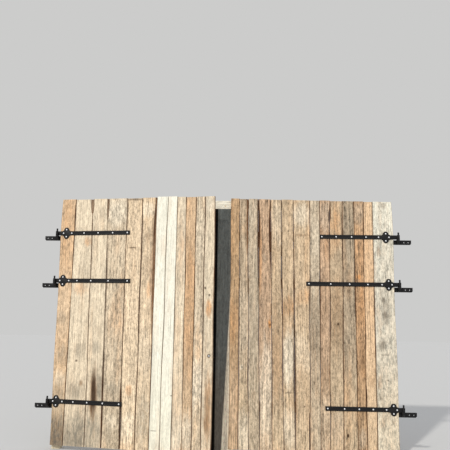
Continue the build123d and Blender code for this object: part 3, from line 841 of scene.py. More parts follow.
@dataclass(frozen=True)
class WeatheredWood:
    """The weathered wood that every timber shares: its colours, its layers of noise and what they do.

    A field that ends in light says how much lighter or darker a layer makes the wood, and one that ends
    in share says how strong a colour gets at the most.
    """

    warm: Colour = srgb(222, 158, 96)
    grey: Colour = srgb(140, 133, 118)
    brown: Colour = srgb(148, 112, 78)
    pale: Colour = srgb(248, 236, 212)
    dark: Colour = srgb(54, 32, 16)
    bark: Colour = srgb(92, 44, 14)
    streak: NoiseLayer = NoiseLayer((95.0, 95.0, 2.6), 5.0, 0.6, 0.4)
    fibre: NoiseLayer = NoiseLayer((420.0, 420.0, 14.0), 3.0, 0.6)
    mottle: NoiseLayer = NoiseLayer((30.0, 30.0, 11.0), 4.0, 0.6, 0.6)
    pebble: NoiseLayer = NoiseLayer((76.0, 76.0, 26.0), 2.0, 0.6, 0.3)
    grit: NoiseLayer = NoiseLayer((190.0, 190.0, 90.0), 2.0, 0.7)
    fleck: NoiseLayer = NoiseLayer((150.0, 150.0, 60.0), 2.0, 0.5)
    crack: NoiseLayer = NoiseLayer((95.0, 95.0, 1.1), 3.0, 0.5, 0.2)
    lower_height: Span = Span(0.35, 1.35)
    warm_patch: Span = Span(0.3, 0.62, 0.45, 1.0)
    grey_patch: Span = Span(0.38, 0.62, 0.3, 0.95)
    brown_patch: Span = Span(0.36, 0.6, 0.3, 1.0)
    pale_share: float = 0.75
    streak_light: Span = Span(0.3, 0.7, -0.32, 0.28)
    mottle_light: Span = Span(0.34, 0.66, -0.20, 0.16)
    pebble_light: Span = Span(0.34, 0.66, -0.21, 0.17)
    grit_light: Span = Span(0.34, 0.66, -0.15, 0.12)
    fibre_light: Span = Span(0.34, 0.66, -0.10, 0.10)
    speckle_gain: float = 1.6
    fleck_spot: Span = Span(0.60, 0.70)
    fleck_share: float = 0.5
    crack_line: Span = Span(0.665, 0.70)
    crack_share: float = 0.45
    bark_patch: Span = Span(0.3, 0.6, 0.75, 1.0)
    streak_height: float = 0.9
    fibre_height: float = 0.35
    crack_height: float = -0.6
    dark_height: float = -0.5
    relief: float = 0.7 * MM
    relief_strength: float = 0.9

    def group(self) -> bpy.types.NodeTree:
        """Builds the wood as a node group.

        Its inputs are those of WOOD_INPUTS. It reads the point attributes grain, which is the place in the
        wood, tint, wear and fleck. On the centre post, wear carries a painted sunlit wedge and a rim of
        painted shade, and the light in fleck carries painted shade.

        Returns:
            The group.
        """
        tree = bpy.data.node_groups.new("WeatheredWood", "ShaderNodeTree")
        for name, kind in WOOD_INPUTS.items():
            tree.interface.new_socket(name, in_out="INPUT", socket_type=kind)
        tree.interface.new_socket("Color", in_out="OUTPUT", socket_type="NodeSocketColor")
        tree.interface.new_socket("Normal", in_out="OUTPUT", socket_type="NodeSocketVector")
        g = GraphBuilder(tree)
        given = g.add("NodeGroupInput").outputs
        place = self.attribute(g, "grain")
        tint = self.parts(g, "tint")
        pale, dark, bark = self.parts(g, "wear")
        speckled, height, light = self.parts(g, "fleck")
        streak = g.noise(place, self.streak)
        mottle = g.noise(place, self.mottle)
        fibre = g.noise(place, self.fibre)
        cracks = g.step(g.noise(place, self.crack), self.crack_line)

        wood = g.blend(g.step(height, self.lower_height), given["Lower"], given["Main"])
        for amount, layer, patch, colour in zip(
            tint, (mottle, mottle, streak), (self.warm_patch, self.grey_patch, self.brown_patch),
            (self.warm, self.grey, self.brown),
        ):
            wood = g.blend(g.maths("MULTIPLY", amount, g.step(layer, patch)), wood, colour)
        wood = g.blend(g.maths("MULTIPLY", pale, self.pale_share), wood, self.pale)

        tone = 1.0
        for layer, span, strength in (
            (streak, self.streak_light, "Streak"),
            (mottle, self.mottle_light, "Mottle"),
            (g.noise(place, self.pebble), self.pebble_light, "Mottle"),
            (g.noise(place, self.grit), self.grit_light, "Mottle"),
            (fibre, self.fibre_light, "Streak"),
        ):
            tone = g.maths("ADD", tone, g.maths("MULTIPLY", g.step(layer, span), given[strength]))
        lit = g.add("ShaderNodeVectorMath", operation="SCALE")
        g.put(lit, {0: wood, "Scale": g.maths("MULTIPLY", tone, light)})
        wood = lit.outputs[0]

        amount = g.maths("ADD", given["Speckle"], g.maths("MULTIPLY", speckled, self.speckle_gain))
        spots = g.step(g.noise(place, self.fleck), self.fleck_spot)
        spots = g.maths("MULTIPLY", spots, amount, clamp=True)
        wood = g.blend(g.maths("MULTIPLY", spots, self.fleck_share), wood, self.brown)
        wood = g.blend(g.maths("MULTIPLY", cracks, self.crack_share), wood, self.dark)
        wood = g.blend(dark, wood, self.dark)
        wood = g.blend(g.maths("MULTIPLY", bark, g.step(streak, self.bark_patch)), wood, self.bark)

        relief = g.maths("MULTIPLY", streak, self.streak_height)
        heights = (self.fibre_height, self.crack_height, self.dark_height)
        for layer, share in zip((fibre, cracks, dark), heights):
            relief = g.maths("ADD", relief, g.maths("MULTIPLY", layer, share))
        normal = g.bump(relief, self.relief, self.relief_strength)
        g.put(g.add("NodeGroupOutput"), {"Color": wood, "Normal": normal})
        return tree

    def attribute(self, g: GraphBuilder, name: str) -> bpy.types.NodeSocket:
        """A point attribute's output."""
        node = g.add("ShaderNodeAttribute", attribute_type="GEOMETRY", attribute_name=name)
        return node.outputs["Vector"]

    def parts(self, g: GraphBuilder, name: str) -> tuple[bpy.types.NodeSocket, ...]:
        """Takes a point attribute apart.

        Args:
            g: builder of the group's tree.
            name: name of the attribute.

        Returns:
            The outputs of its three parts.
        """
        node = g.add("ShaderNodeSeparateXYZ")
        g.put(node, {0: self.attribute(g, name)})
        return tuple(node.outputs)


@dataclass(frozen=True)
class MetalFinish:
    """The looks of a painted or plated metal.

    Args:
        name: name of its material.
        colour: its colour.
        worn: its colour where it is worn.
        metallic: how metallic it is.
        gloss: specular level.
        patches: noise of the worn patches.
        wear: how the patches wear the colour.
        roughness: how the patches change the roughness.
        grain: noise of the surface's grain.
        grain_depth: depth of that grain.
        grain_strength: how strong it is.
    """

    name: str
    colour: Colour
    worn: Colour
    metallic: float
    gloss: float
    patches: NoiseLayer
    wear: Span
    roughness: Span
    grain: NoiseLayer = NoiseLayer((260.0, 260.0, 260.0), 3.0)
    grain_depth: float = 0.15 * MM
    grain_strength: float = 0.5


BLACK_IRON = MetalFinish(
    "black_iron", srgb(15, 14, 15), srgb(46, 40, 38), metallic=0.0, gloss=0.3,
    patches=NoiseLayer((60.0, 60.0, 60.0), 4.0, 0.6),
    wear=Span(0.52, 0.7, 0.0, 0.3),
    roughness=Span(0.35, 0.7, 0.50, 0.70),
)
# The screws' near-white, little metallic colour is pale zinc with a painted highlight, standing for glints.
ZINC_AND_GLINT = MetalFinish(
    "zinc_screw", srgb(240, 241, 241), srgb(200, 202, 202), metallic=0.3, gloss=0.5,
    patches=NoiseLayer((300.0, 300.0, 300.0), 4.0, 0.6),
    wear=Span(0.52, 0.7, 0.0, 0.4),
    roughness=Span(0.35, 0.7, 0.29, 0.49),
)
LEDGE_TIMBER = TimberFinish("ledge_timber", srgb(204, 172, 128), srgb(196, 168, 128))
FRAME_TIMBER = TimberFinish("frame_timber", srgb(238, 231, 212), srgb(216, 202, 174), 0.5, 0.5, 0.1)
# The post's dark grey is painted shade, and its warmer colour low down is painted light bounced from the
# ground.
POST_TIMBER = TimberFinish("post_timber", srgb(119, 123, 120), srgb(118, 112, 103), 0.6, 0.6, 0.0, 0.05)
PEG_TIMBER = TimberFinish("oak_peg", srgb(206, 184, 148), srgb(196, 172, 136))


class Finishes:
    """Makes each material once and hands it out."""

    WOOD_ROUGHNESS = 0.88

    def __init__(self) -> None:
        """Starts with the shared wood group."""
        self.wood = WeatheredWood().group()
        self.made: dict[str, bpy.types.Material] = {}

    def timber(self, finish: TimberFinish) -> bpy.types.Material:
        """Material of a timber.

        Args:
            finish: the timber's looks.

        Returns:
            The material.
        """
        if finish.name not in self.made:
            g, shader = self.blank(finish.name)
            group = g.add("ShaderNodeGroup", node_tree=self.wood)
            values = (finish.main, finish.lower, finish.streak, finish.mottle, finish.speckle)
            g.put(group, dict(zip(WOOD_INPUTS, values)))
            g.put(shader, {
                "Base Color": group.outputs["Color"],
                "Normal": group.outputs["Normal"],
                "Roughness": self.WOOD_ROUGHNESS,
                "Specular IOR Level": finish.gloss,
            })
        return self.made[finish.name]

    def metal(self, finish: MetalFinish) -> bpy.types.Material:
        """Material of the ironwork or of the screws.

        Args:
            finish: the metal's looks.

        Returns:
            The material.
        """
        if finish.name not in self.made:
            g, shader = self.blank(finish.name)
            place = g.add("ShaderNodeTexCoord").outputs["Object"]
            patches = g.noise(place, finish.patches)
            grain = g.noise(place, finish.grain)
            g.put(shader, {
                "Base Color": g.blend(g.step(patches, finish.wear), finish.colour, finish.worn),
                "Metallic": finish.metallic,
                "Specular IOR Level": finish.gloss,
                "Roughness": g.step(patches, finish.roughness),
                "Normal": g.bump(grain, finish.grain_depth, finish.grain_strength),
            })
        return self.made[finish.name]

    def blank(self, name: str) -> tuple[GraphBuilder, bpy.types.Node]:
        """Makes a new material with only its shader and output.

        Args:
            name: the material's name.

        Returns:
            A builder for its tree, and its shader.
        """
        material = bpy.data.materials.new(name)
        material.use_nodes = True
        self.made[name] = material
        return GraphBuilder(material.node_tree), material.node_tree.nodes["Principled BSDF"]


@dataclass(frozen=True)
class BoardSize:
    """How finely a board is rebuilt, and how far its face departs from flat. Waves are counted in a metre.

    Args:
        small_mark: half the length under which a mark gets rows of its own.
        mark_rows: where those rows are, in half-lengths of the mark.
        least_row: least distance from such a row to another.
        side_shares: where the columns down a side are, as shares of the thickness.
        side_start: how far below its arris a side starts, in reliefs.
        arris_shares: where the columns across an arris are, as shares of its radius.
        edge_steps: distances past an arris of the columns that follow it.
        relief_waves: waves of the face's relief, across and along.
        front_step: how far behind the face the first rays at a side pass. The steps before the back,
            above the foot and below the top are like it.
        ray_room: distance from which a ray comes at a side. One falls on the top from fall_room.
        top_depth: where in the thickness the top is measured, as a share.
        top_places: where along the top it is measured, as shares of the width.
        hole_window: rows of the median that drops the screw holes.
        sharp_angle: angle over which an edge stays sharp.
    """

    rows: int = 225
    small_mark: float = 30 * MM
    mark_rows: tuple[float, ...] = (-1.0, -0.5, 0.0, 0.5, 1.0)
    least_row: float = 1.5 * MM
    middle_columns: int = 17
    back_columns: int = 7
    side_shares: tuple[float, ...] = (0.0, 0.04, 0.12, 0.27, 0.5, 0.75, 0.93, 1.0)
    side_start: float = 1.3
    arris_shares: tuple[float, ...] = (0.0, 0.15, 0.5, 1.0)
    arris: float = 2.6 * MM
    arris_swing: float = 1.3 * MM
    arris_waves: float = 9.0
    edge_steps: tuple[float, ...] = (2.0 * MM, 5.0 * MM)
    relief: float = 1.1 * MM
    relief_waves: tuple[float, float] = (55.0, 2.2)
    relief_layers: int = 4
    front_step: float = 0.2 * MM
    back_step: float = 1.5 * MM
    foot_step: float = 1.0 * MM
    top_step: float = 4.0 * MM
    ray_room: float = 50 * MM
    fall_room: float = 100 * MM
    top_depth: float = 0.8
    top_places: tuple[float, ...] = (1 / 3, 1 / 2, 2 / 3)
    hole_window: int = 5
    sharp_angle: float = math.radians(42)


class NoiseLine:
    """Where in a board's noise its changes start, so that they differ.

    A step is from one drift to the next, or for each metre of a mark's height.
    """

    NEAR_ARRIS = 3.5
    FAR_ARRIS = 7.5
    NEAR_SEAM = 5.5
    FAR_SEAM = 25.5
    RELIEF = 40
    BARK = 60
    RAGGED = 5
    AGED = 3
    RAGGED_STEP = 7
    DRIFT_STEP_ACROSS = 31
    DRIFT_STEP_ALONG = 11


@dataclass(frozen=True)
class BoardPaint:
    """How a board's marks, seams and slow changes of colour are laid. Waves are counted in a metre.

    A field that ends in edge holds the two values between which something fades in or out, and waves in
    twos are across and along the board.

    Args:
        drift_waves: waves of the slow drifts of warm, grey and brown.
        drift_share: the most that a drift adds.
        deep_level: which column down a side tells where the board's side is behind its scoops.
        side_edge: distances from that side between which a point stops counting as on it.
        bark_width: mean width of the bark along a waney edge.
        bark_swing: its mean and its swing, in mean widths.
        aged_edge: noise between which a seam turns from fresh to old.
        fresh_seam: how dark a fresh seam is, as a share of an old one.
        seam_edge: distances from a seam between which its brown fades out.
        grain_shift: how far one board's grain is from the next one's in the noise.
        most: the most that an attribute holds.
    """

    ragged_waves: tuple[float, float] = (60.0, 9.0)
    mark_edge: tuple[float, float] = (0.35, 1.05)
    drift_waves: tuple[tuple[float, float], ...] = ((14.0, 2.1), (18.0, 2.9), (22.0, 4.3))
    drift_edge: tuple[float, float] = (0.05, 0.75)
    drift_share: float = 0.20
    deep_level: int = 5
    side_edge: tuple[float, float] = (1.0 * MM, 3.5 * MM)
    behind_edge: tuple[float, float] = (2.0 * MM, 6.0 * MM)
    hollow_edge: tuple[float, float] = (2.0 * MM, 5.0 * MM)
    scoop_edge: tuple[float, float] = (23.0 * MM, 25.0 * MM)
    bark_width: float = 4.2 * MM
    bark_swing: tuple[float, float] = (1.1, 0.9)
    bark_waves: tuple[float, float] = (3.0, 13.0)
    bark_least: float = 0.4 * MM
    bark_edge: tuple[float, float] = (0.1, 1.0)
    aged_waves: float = 1.7
    aged_edge: tuple[float, float] = (-0.35, 0.40)
    fresh_seam: float = 0.35
    seam_edge: tuple[float, float] = (1.0 * MM, 9.0 * MM)
    seam_brown: float = 0.5
    hollow_brown: float = 0.75
    hollow_bark: float = 0.45
    grain_shift: tuple[float, float, float] = (0.37, 0.11, 1.7)
    most: float = 4.0


@dataclass(frozen=True)
class ChainHole:
    """The round hole for a chain, near the left leaf's free edge, with a ring of painted shade round it.

    Args:
        board: the board that it goes through.
        from_free_edge: from the board's farthest edge to the middle of the ring of painted shade.
        edge_wander: how much farther in the hole itself is, because that edge wanders.
        height: height of its middle.
        radius: its radius.
        shade_ring_edge: distances from its middle between which the ring of painted shade fades out.
        sides: sides of the cutter.
        length: length of the cutter.
        depth: depth of the cutter's middle, about the pins.
    """

    board: str = "left_board_12"
    from_free_edge: float = 46 * MM
    edge_wander: float = 2 * MM
    height: float = 1110 * MM
    radius: float = 12 * MM
    shade_ring_edge: tuple[float, float] = (12 * MM, 26 * MM)
    sides: int = 40
    length: float = 160 * MM
    depth: float = 30 * MM

    def cut(self, piece: bpy.types.Object, leaf: LeafFrame, free_edge: float) -> None:
        """Bores the hole.

        Args:
            piece: the board.
            leaf: the board's leaf.
            free_edge: the farthest place of the board's free edge.
        """
        place = float(free_edge) - self.edge_wander - self.from_free_edge
        middle = Vector((place, self.depth, self.height))
        bm = bmesh.new()
        bmesh.ops.create_cone(
            bm, cap_ends=True, segments=self.sides, radius1=self.radius, radius2=self.radius,
            depth=self.length,
            matrix=leaf.matrix() @ Matrix.Translation(middle) @ Matrix.Rotation(math.radians(90), 4, "X"))
        cutter = bpy.data.meshes.new("chain_hole")
        bm.to_mesh(cutter)
        bm.free()
        combine(piece, cutter, Change.CUT)

    def worn(self, u: np.ndarray, z: np.ndarray, free_edge: float) -> np.ndarray:
        """Share by which the wood at each place round the hole is darkened with painted shade."""
        away = np.hypot(u - (free_edge - self.from_free_edge), z - self.height)
        return 1 - smooth(away, *self.shade_ring_edge)


class BoardSide(Enum):
    """A board's two sides. A value is the way along u from that side into the board."""

    NEAR = 1
    FAR = -1


class BoardPiece:
    """One board of a leaf, rebuilt along its CAD solid."""

    RIGHT_SEEDS = 100

    def __init__(self, leaf: LeafFrame, number: int, look: BoardLook) -> None:
        """Takes the board's CAD solid and measures its sides and its top.

        Args:
            leaf: the leaf that it belongs to.
            number: its number, counted from the hinges.
            look: its tone and marks.
        """
        self.leaf = leaf
        self.look = look
        self.size = BoardSize()
        self.paint = BoardPaint()
        self.hole = ChainHole()
        self.node = leaf.node(f"board_{number:02d}")
        self.seed = number + (self.RIGHT_SEEDS if leaf.mirrored else 0)
        self.noise = LatticeNoise(self.seed)
        points, faces = node_mesh(self.node)
        points = leaf.to_leaf(points)
        self.tree = BVHTree.FromPolygons([Vector(point) for point in points], faces)
        self.low, self.front, self.foot = points.min(axis=0)
        self.high, self.back, highest = points.max(axis=0)
        self.top_line = self.measure_top(highest)
        self.height = self.top(0.5 * (self.low + self.high)) - self.foot
        self.shares = self.row_shares()
        self.heights = self.foot + self.shares * self.height
        self.depths = np.array(self.size.side_shares) * (self.back - self.front)
        self.near = self.measure_side(BoardSide.NEAR)
        self.far = self.measure_side(BoardSide.FAR)

    def row_shares(self) -> np.ndarray:
        """Spreads the rows of the mesh: even ones, and more at each small mark.

        Returns:
            The rows as rising shares of the board's height.
        """
        shares = list(np.linspace(0.0, 1.0, self.size.rows))
        for mark in self.look.marks:
            if mark.half_length < self.size.small_mark:
                for step in self.size.mark_rows:
                    share = (mark.height + step * mark.half_length - self.foot) / self.height
                    nearest = min(abs(share - other) for other in shares)
                    if 0 < share < 1 and nearest * self.height > self.size.least_row:
                        shares.append(share)
        return np.sort(np.array(shares))

    def measure_top(self, highest: float) -> np.ndarray:
        """Measures the sawn top with rays that fall on it.

        Args:
            highest: height of the board's highest point.

        Returns:
            The line of the top, its height over u, for np.polyval.
        """
        depth = self.front + self.size.top_depth * (self.back - self.front)
        places = self.low + np.array(self.size.top_places) * (self.high - self.low)
        start = highest + self.size.fall_room
        heights = []
        for u in places:
            hit = self.tree.ray_cast(Vector((u, depth, start)), Vector((0, 0, -1)))[0]
            heights.append(hit.z)
        return np.polyfit(places, heights, 1)

    def top(self, u: np.ndarray) -> np.ndarray:
        """Height of the sawn top at u."""
        return np.polyval(self.top_line, u)

    def measure_side(self, side: BoardSide) -> np.ndarray:
        """Measures where a side of the board is, with rays along u.

        Args:
            side: which side.

        Returns:
            The side's place at each row and depth.
        """
        size = self.size
        start = self.low - size.ray_room if side is BoardSide.NEAR else self.high + size.ray_room
        depths = self.front + np.clip(self.depths, size.front_step, self.back - self.front - size.back_step)
        sides = np.full((len(self.heights), len(depths)), np.nan)
        levels = np.clip(self.heights, self.foot + size.foot_step, self.heights[-1] - size.top_step)
        for row, z in enumerate(levels):
            for column, v in enumerate(depths):
                hit = self.tree.ray_cast(Vector((start, v, z)), Vector((side.value, 0, 0)))[0]
                if hit:
                    sides[row, column] = hit.x
        return self.without_holes(sides)

    def without_holes(self, sides: np.ndarray) -> np.ndarray:
        """Runs a short median along the board, which drops the screw holes at its sides.

        Args:
            sides: a side's place at each row and depth.

        Returns:
            The same without the holes.
        """
        half = self.size.hole_window // 2
        padded = np.pad(sides, ((half, half), (0, 0)), mode="edge")
        layers = [padded[step:step + len(sides)] for step in range(self.size.hole_window)]
        return np.nanmedian(np.stack(layers), axis=0)

    def side_at(self, sides: np.ndarray, depth: np.ndarray) -> np.ndarray:
        """A side's place at one depth for each row."""
        return np.array([np.interp(d, self.depths, row) for row, d in zip(sides, depth)])

    def arris(self, line: float) -> np.ndarray:
        """Radius of the arris that follows a line of the noise, for each row."""
        wave = self.noise.layered(np.full_like(self.heights, line), self.heights * self.size.arris_waves)
        return self.size.arris + self.size.arris_swing * wave

    def half_front(self, side: BoardSide, sides: np.ndarray, radius: np.ndarray) -> tuple[Columns, Columns]:
        """Lays the columns of the front face from a side to beyond its arris.

        Args:
            side: which side.
            sides: its place at each row and depth.
            radius: radius of the arris at each row.

        Returns:
            The columns' places u, and their drops below the face, each for each row.
        """
        places = []
        drops = []
        for share in self.size.arris_shares:
            places.append(sides[:, 0] + side.value * share * radius)
            drops.append(radius * (1 - math.sqrt(1 - (1 - share) ** 2)))
        for step in self.size.edge_steps:
            places.append(sides[:, 0] + side.value * (radius + step))
            drops.append(np.zeros_like(radius))
        return places, drops

    def side_columns(self, sides: np.ndarray, radius: np.ndarray) -> tuple[Columns, Columns]:
        """Lays the columns down a side, from below its arris to the back.

        Args:
            sides: the side's place at each row and depth.
            radius: radius of the arris at each row.

        Returns:
            The columns' places u and v, each for each row.
        """
        places = []
        depths = []
        start = radius + self.size.side_start * self.size.relief
        for share in self.size.side_shares:
            depth = start + share * (self.back - self.front - start)
            places.append(self.side_at(sides, depth))
            depths.append(self.front + depth)
        return places, depths

    def between(self, first: np.ndarray, last: np.ndarray, count: int) -> Columns:
        """Even columns between two columns, without these two."""
        shares = np.linspace(0.0, 1.0, count + 2)[1:-1]
        return [first * (1 - share) + last * share for share in shares]

    def loop(self) -> tuple[np.ndarray, np.ndarray]:
        """Goes round the board's section: the front, the far side, the back and the near side.

        Returns:
            The places u and v of the points round the section, a row of points for each row.
        """
        size = self.size
        near_radius = self.arris(NoiseLine.NEAR_ARRIS)
        far_radius = self.arris(NoiseLine.FAR_ARRIS)
        near_places, near_drops = self.half_front(BoardSide.NEAR, self.near, near_radius)
        far_places, far_drops = self.half_front(BoardSide.FAR, self.far, far_radius)
        middle = self.between(near_places[-1], far_places[-1], size.middle_columns)
        flat = [np.zeros_like(near_radius)] * len(middle)
        front_u = np.stack(near_places + middle + far_places[::-1], axis=1)
        drops = np.stack(near_drops + flat + far_drops[::-1], axis=1)
        across, along = size.relief_waves
        wave = self.noise.layered(
            front_u * across, self.heights[:, None] * along + NoiseLine.RELIEF, size.relief_layers)
        front_v = self.front + drops + size.relief * (0.5 + 0.5 * wave)
        far_u, far_v = self.side_columns(self.far, far_radius)
        near_u, near_v = self.side_columns(self.near, near_radius)
        back_u = self.between(far_u[-1], near_u[-1], size.back_columns)
        back_v = [np.full_like(near_radius, self.back)] * len(back_u)
        u = np.stack(far_u + back_u + near_u[::-1], axis=1)
        v = np.stack(far_v + back_v + near_v[::-1], axis=1)
        return np.concatenate([front_u, u], axis=1), np.concatenate([front_v, v], axis=1)

    def mesh(self) -> bpy.types.Mesh:
        """Builds the board's mesh in the scene.

        Returns:
            The mesh, closed at the foot and the top.
        """
        u, v = self.loop()
        rows, columns = u.shape
        z = self.foot + self.shares[:, None] * (self.top(u) - self.foot)
        faces = []
        for row in range(rows - 1):
            base = row * columns
            for column in range(columns):
                following = (column + 1) % columns
                faces.append((base + column, base + following, base + columns + following,
                              base + columns + column))
        faces.append(tuple(range(columns))[::-1])
        faces.append(tuple(range((rows - 1) * columns, rows * columns)))
        if self.leaf.mirrored:
            faces = [face[::-1] for face in faces]
        points = np.stack([u, v, z], axis=2).reshape(-1, 3)
        mesh = new_mesh(self.node, self.leaf.to_scene(points), faces)
        mesh.update()
        return mesh

    def sides_at(self, z: np.ndarray, level: int) -> tuple[np.ndarray, np.ndarray]:
        """Places of the near and the far side at some heights, at one of the measured depths."""
        near = np.interp(z, self.heights, self.near[:, level])
        return near, np.interp(z, self.heights, self.far[:, level])

    def write_attributes(self, mesh: bpy.types.Mesh) -> None:
        """Writes the point attributes that the wood's material reads.

        Args:
            mesh: the board's mesh.
        """
        local = self.leaf.to_leaf(mesh_points(mesh))
        layers = {name: np.zeros_like(local) for name in ("tint", "wear", "fleck")}
        self.lay_marks(layers, local)
        self.lay_drifts(layers, local)
        self.lay_seams(layers, local)
        # Round the chain hole the wood is darkened with painted shade, for the dark seen through the hole.
        if self.node == self.hole.board:
            worn = self.hole.worn(local[:, 0], local[:, 2], self.high)
            layers["wear"][:, 1] = np.maximum(layers["wear"][:, 1], worn)
        layers["fleck"][:, 1] = local[:, 2]
        layers["fleck"][:, 2] = self.look.light
        set_vectors(mesh, "grain", local + np.array(self.paint.grain_shift) * self.seed)
        for name, values in layers.items():
            set_vectors(mesh, name, np.clip(values, 0.0, self.paint.most))

    def lay_marks(self, layers: dict[str, np.ndarray], local: np.ndarray) -> None:
        """Lays the board's own marks.

        Args:
            layers: the point attributes so far.
            local: the points in the leaf's axes.
        """
        u, z = local[:, 0], local[:, 2]
        near, far = self.sides_at(z, 0)
        place = (u - near) / (far - near)
        across, along = self.paint.ragged_waves
        for mark in self.look.marks:
            name, part, raggedness = mark.kind.value
            line = NoiseLine.RAGGED_STEP * mark.height
            ragged = self.noise.layered(u * across + NoiseLine.RAGGED, z * along + line)
            sideways = (place - mark.across) / mark.half_width
            distance = np.hypot(sideways, (z - mark.height) / mark.half_length)
            share = mark.strength * (1 - smooth(distance + raggedness * ragged, *self.paint.mark_edge))
            layers[name][:, part] = np.maximum(layers[name][:, part], share)

    def lay_drifts(self, layers: dict[str, np.ndarray], local: np.ndarray) -> None:
        """Adds the slow drifts of warm, grey and brown.

        Args:
            layers: the point attributes so far.
            local: the points in the leaf's axes.
        """
        for part, (across, along) in enumerate(self.paint.drift_waves):
            drift = self.noise.layered(local[:, 0] * across + NoiseLine.DRIFT_STEP_ACROSS * part,
                                       local[:, 2] * along + NoiseLine.DRIFT_STEP_ALONG * part)
            layers["tint"][:, part] += self.paint.drift_share * smooth(drift, *self.paint.drift_edge)

    def lay_seams(self, layers: dict[str, np.ndarray], local: np.ndarray) -> None:
        """Darkens the waney edges, the sides and the scoops.

        Args:
            layers: the point attributes so far.
            local: the points in the leaf's axes.
        """
        paint = self.paint
        u, z = local[:, 0], local[:, 2]
        below = local[:, 1] - self.front
        near, far = self.sides_at(z, 0)
        inside = np.minimum(u - near, far - u)
        deep_near, deep_far = self.sides_at(z, paint.deep_level)
        at_side = 1 - smooth(np.minimum(u - deep_near, deep_far - u), *paint.side_edge)
        above_scoop_end = 1 - smooth(below, *paint.scoop_edge)
        behind = smooth(below, *paint.behind_edge) * at_side
        hollow = smooth(below, *paint.hollow_edge) * (1 - at_side) * above_scoop_end
        across, along = paint.bark_waves
        mean, swing = paint.bark_swing
        wave = self.noise.layered(u * across + NoiseLine.BARK, z * along)
        bark = np.maximum(paint.bark_width * (mean + swing * wave), paint.bark_least)
        edge = (1 - smooth(inside / bark, *paint.bark_edge)) * (1 - hollow) * above_scoop_end
        line = np.where(u - near < far - u, NoiseLine.NEAR_SEAM, NoiseLine.FAR_SEAM)
        aged = smooth(self.noise.layered(line, z * paint.aged_waves + NoiseLine.AGED), *paint.aged_edge)
        beside = 1 - smooth(inside, *paint.seam_edge)
        layers["tint"][:, 2] += paint.hollow_brown * hollow + paint.seam_brown * aged * beside
        seam = np.maximum(edge, behind) * (paint.fresh_seam + (1 - paint.fresh_seam) * aged)
        layers["wear"][:, 2] = seam * self.look.bark + paint.hollow_bark * hollow

    def dress(self, finishes: Finishes) -> None:
        """Builds the board and puts it in its CAD node's place.

        Args:
            finishes: the materials.
        """
        piece = new_object(f"skin_{self.node}", self.mesh())
        if self.node == self.hole.board:
            self.hole.cut(piece, self.leaf, self.high)
        self.write_attributes(piece.data)
        shade_smooth(piece.data, self.size.sharp_angle)
        piece.data.materials.append(finishes.timber(self.look.tone.value))
        stand_for(piece, self.node, self.leaf.body)


@dataclass(frozen=True)
class LeafBoards:
    """The boards of a leaf.

    Args:
        looks: each board's look, counted from the hinges.
    """

    looks: tuple[BoardLook, ...]

    def dress(self, leaf: LeafFrame, finishes: Finishes) -> None:
        """Rebuilds and dresses each board."""
        for number, look in enumerate(self.looks, start=1):
            BoardPiece(leaf, number, look).dress(finishes)


@dataclass(frozen=True)
class EdgeSize:
    """How a merged copy of a CAD piece is softened along its edges.

    Args:
        width: width of the rounding.
        segments: steps across it.
        merge: distance within which points are merged.
        flat_angle: angle within which faces lie in one plane.
        rounded_angle: angle over which an edge is rounded.
        sharp_angle: angle over which an edge then stays sharp in its shading.
    """

    width: float
    segments: int = 2
    merge: float = 0.01 * MM
    flat_angle: float = math.radians(0.6)
    rounded_angle: float = math.radians(30)
    sharp_angle: float = math.radians(35)


IRON_EDGES = EdgeSize(width=0.8 * MM)
TIMBER_EDGES = EdgeSize(width=2.2 * MM)


def merge_flats(mesh: bpy.types.Mesh, edges: EdgeSize) -> None:
    """Merges a mesh's double points and the faces that lie in one plane.

    Args:
        mesh: the mesh.
        edges: what counts as double and as one plane.
    """
    bm = bmesh.new()
    bm.from_mesh(mesh)
    bmesh.ops.remove_doubles(bm, verts=bm.verts, dist=edges.merge)
    bmesh.ops.dissolve_limit(bm, angle_limit=edges.flat_angle, verts=bm.verts, edges=bm.edges)
    bmesh.ops.recalc_face_normals(bm, faces=bm.faces)
    bm.to_mesh(mesh)
    bm.free()


def softened_copy(node: str, edges: EdgeSize, plate: bpy.types.Mesh | None = None) -> bpy.types.Object:
    """Makes a merged copy of a CAD node with its sharp edges rounded off.

    Args:
        node: name of the CAD node.
        edges: how its edges are softened.
        plate: a closed shape to join to the copy first, if any.

    Returns:
        The copy, where the node is.
    """
    mesh = new_mesh(node, *node_mesh(node))
    merge_flats(mesh, edges)
    piece = new_object(f"skin_{node}", mesh)
    if plate:
        combine(piece, plate, Change.JOIN)
        merge_flats(piece.data, edges)
    rounding = piece.modifiers.new("edges", "BEVEL")
    rounding.width = edges.width
    rounding.segments = edges.segments
    rounding.limit_method = "ANGLE"
    rounding.angle_limit = edges.rounded_angle
    rounding.use_clamp_overlap = True
    apply_modifiers(piece)
    shade_smooth(piece.data, edges.sharp_angle)
    return piece


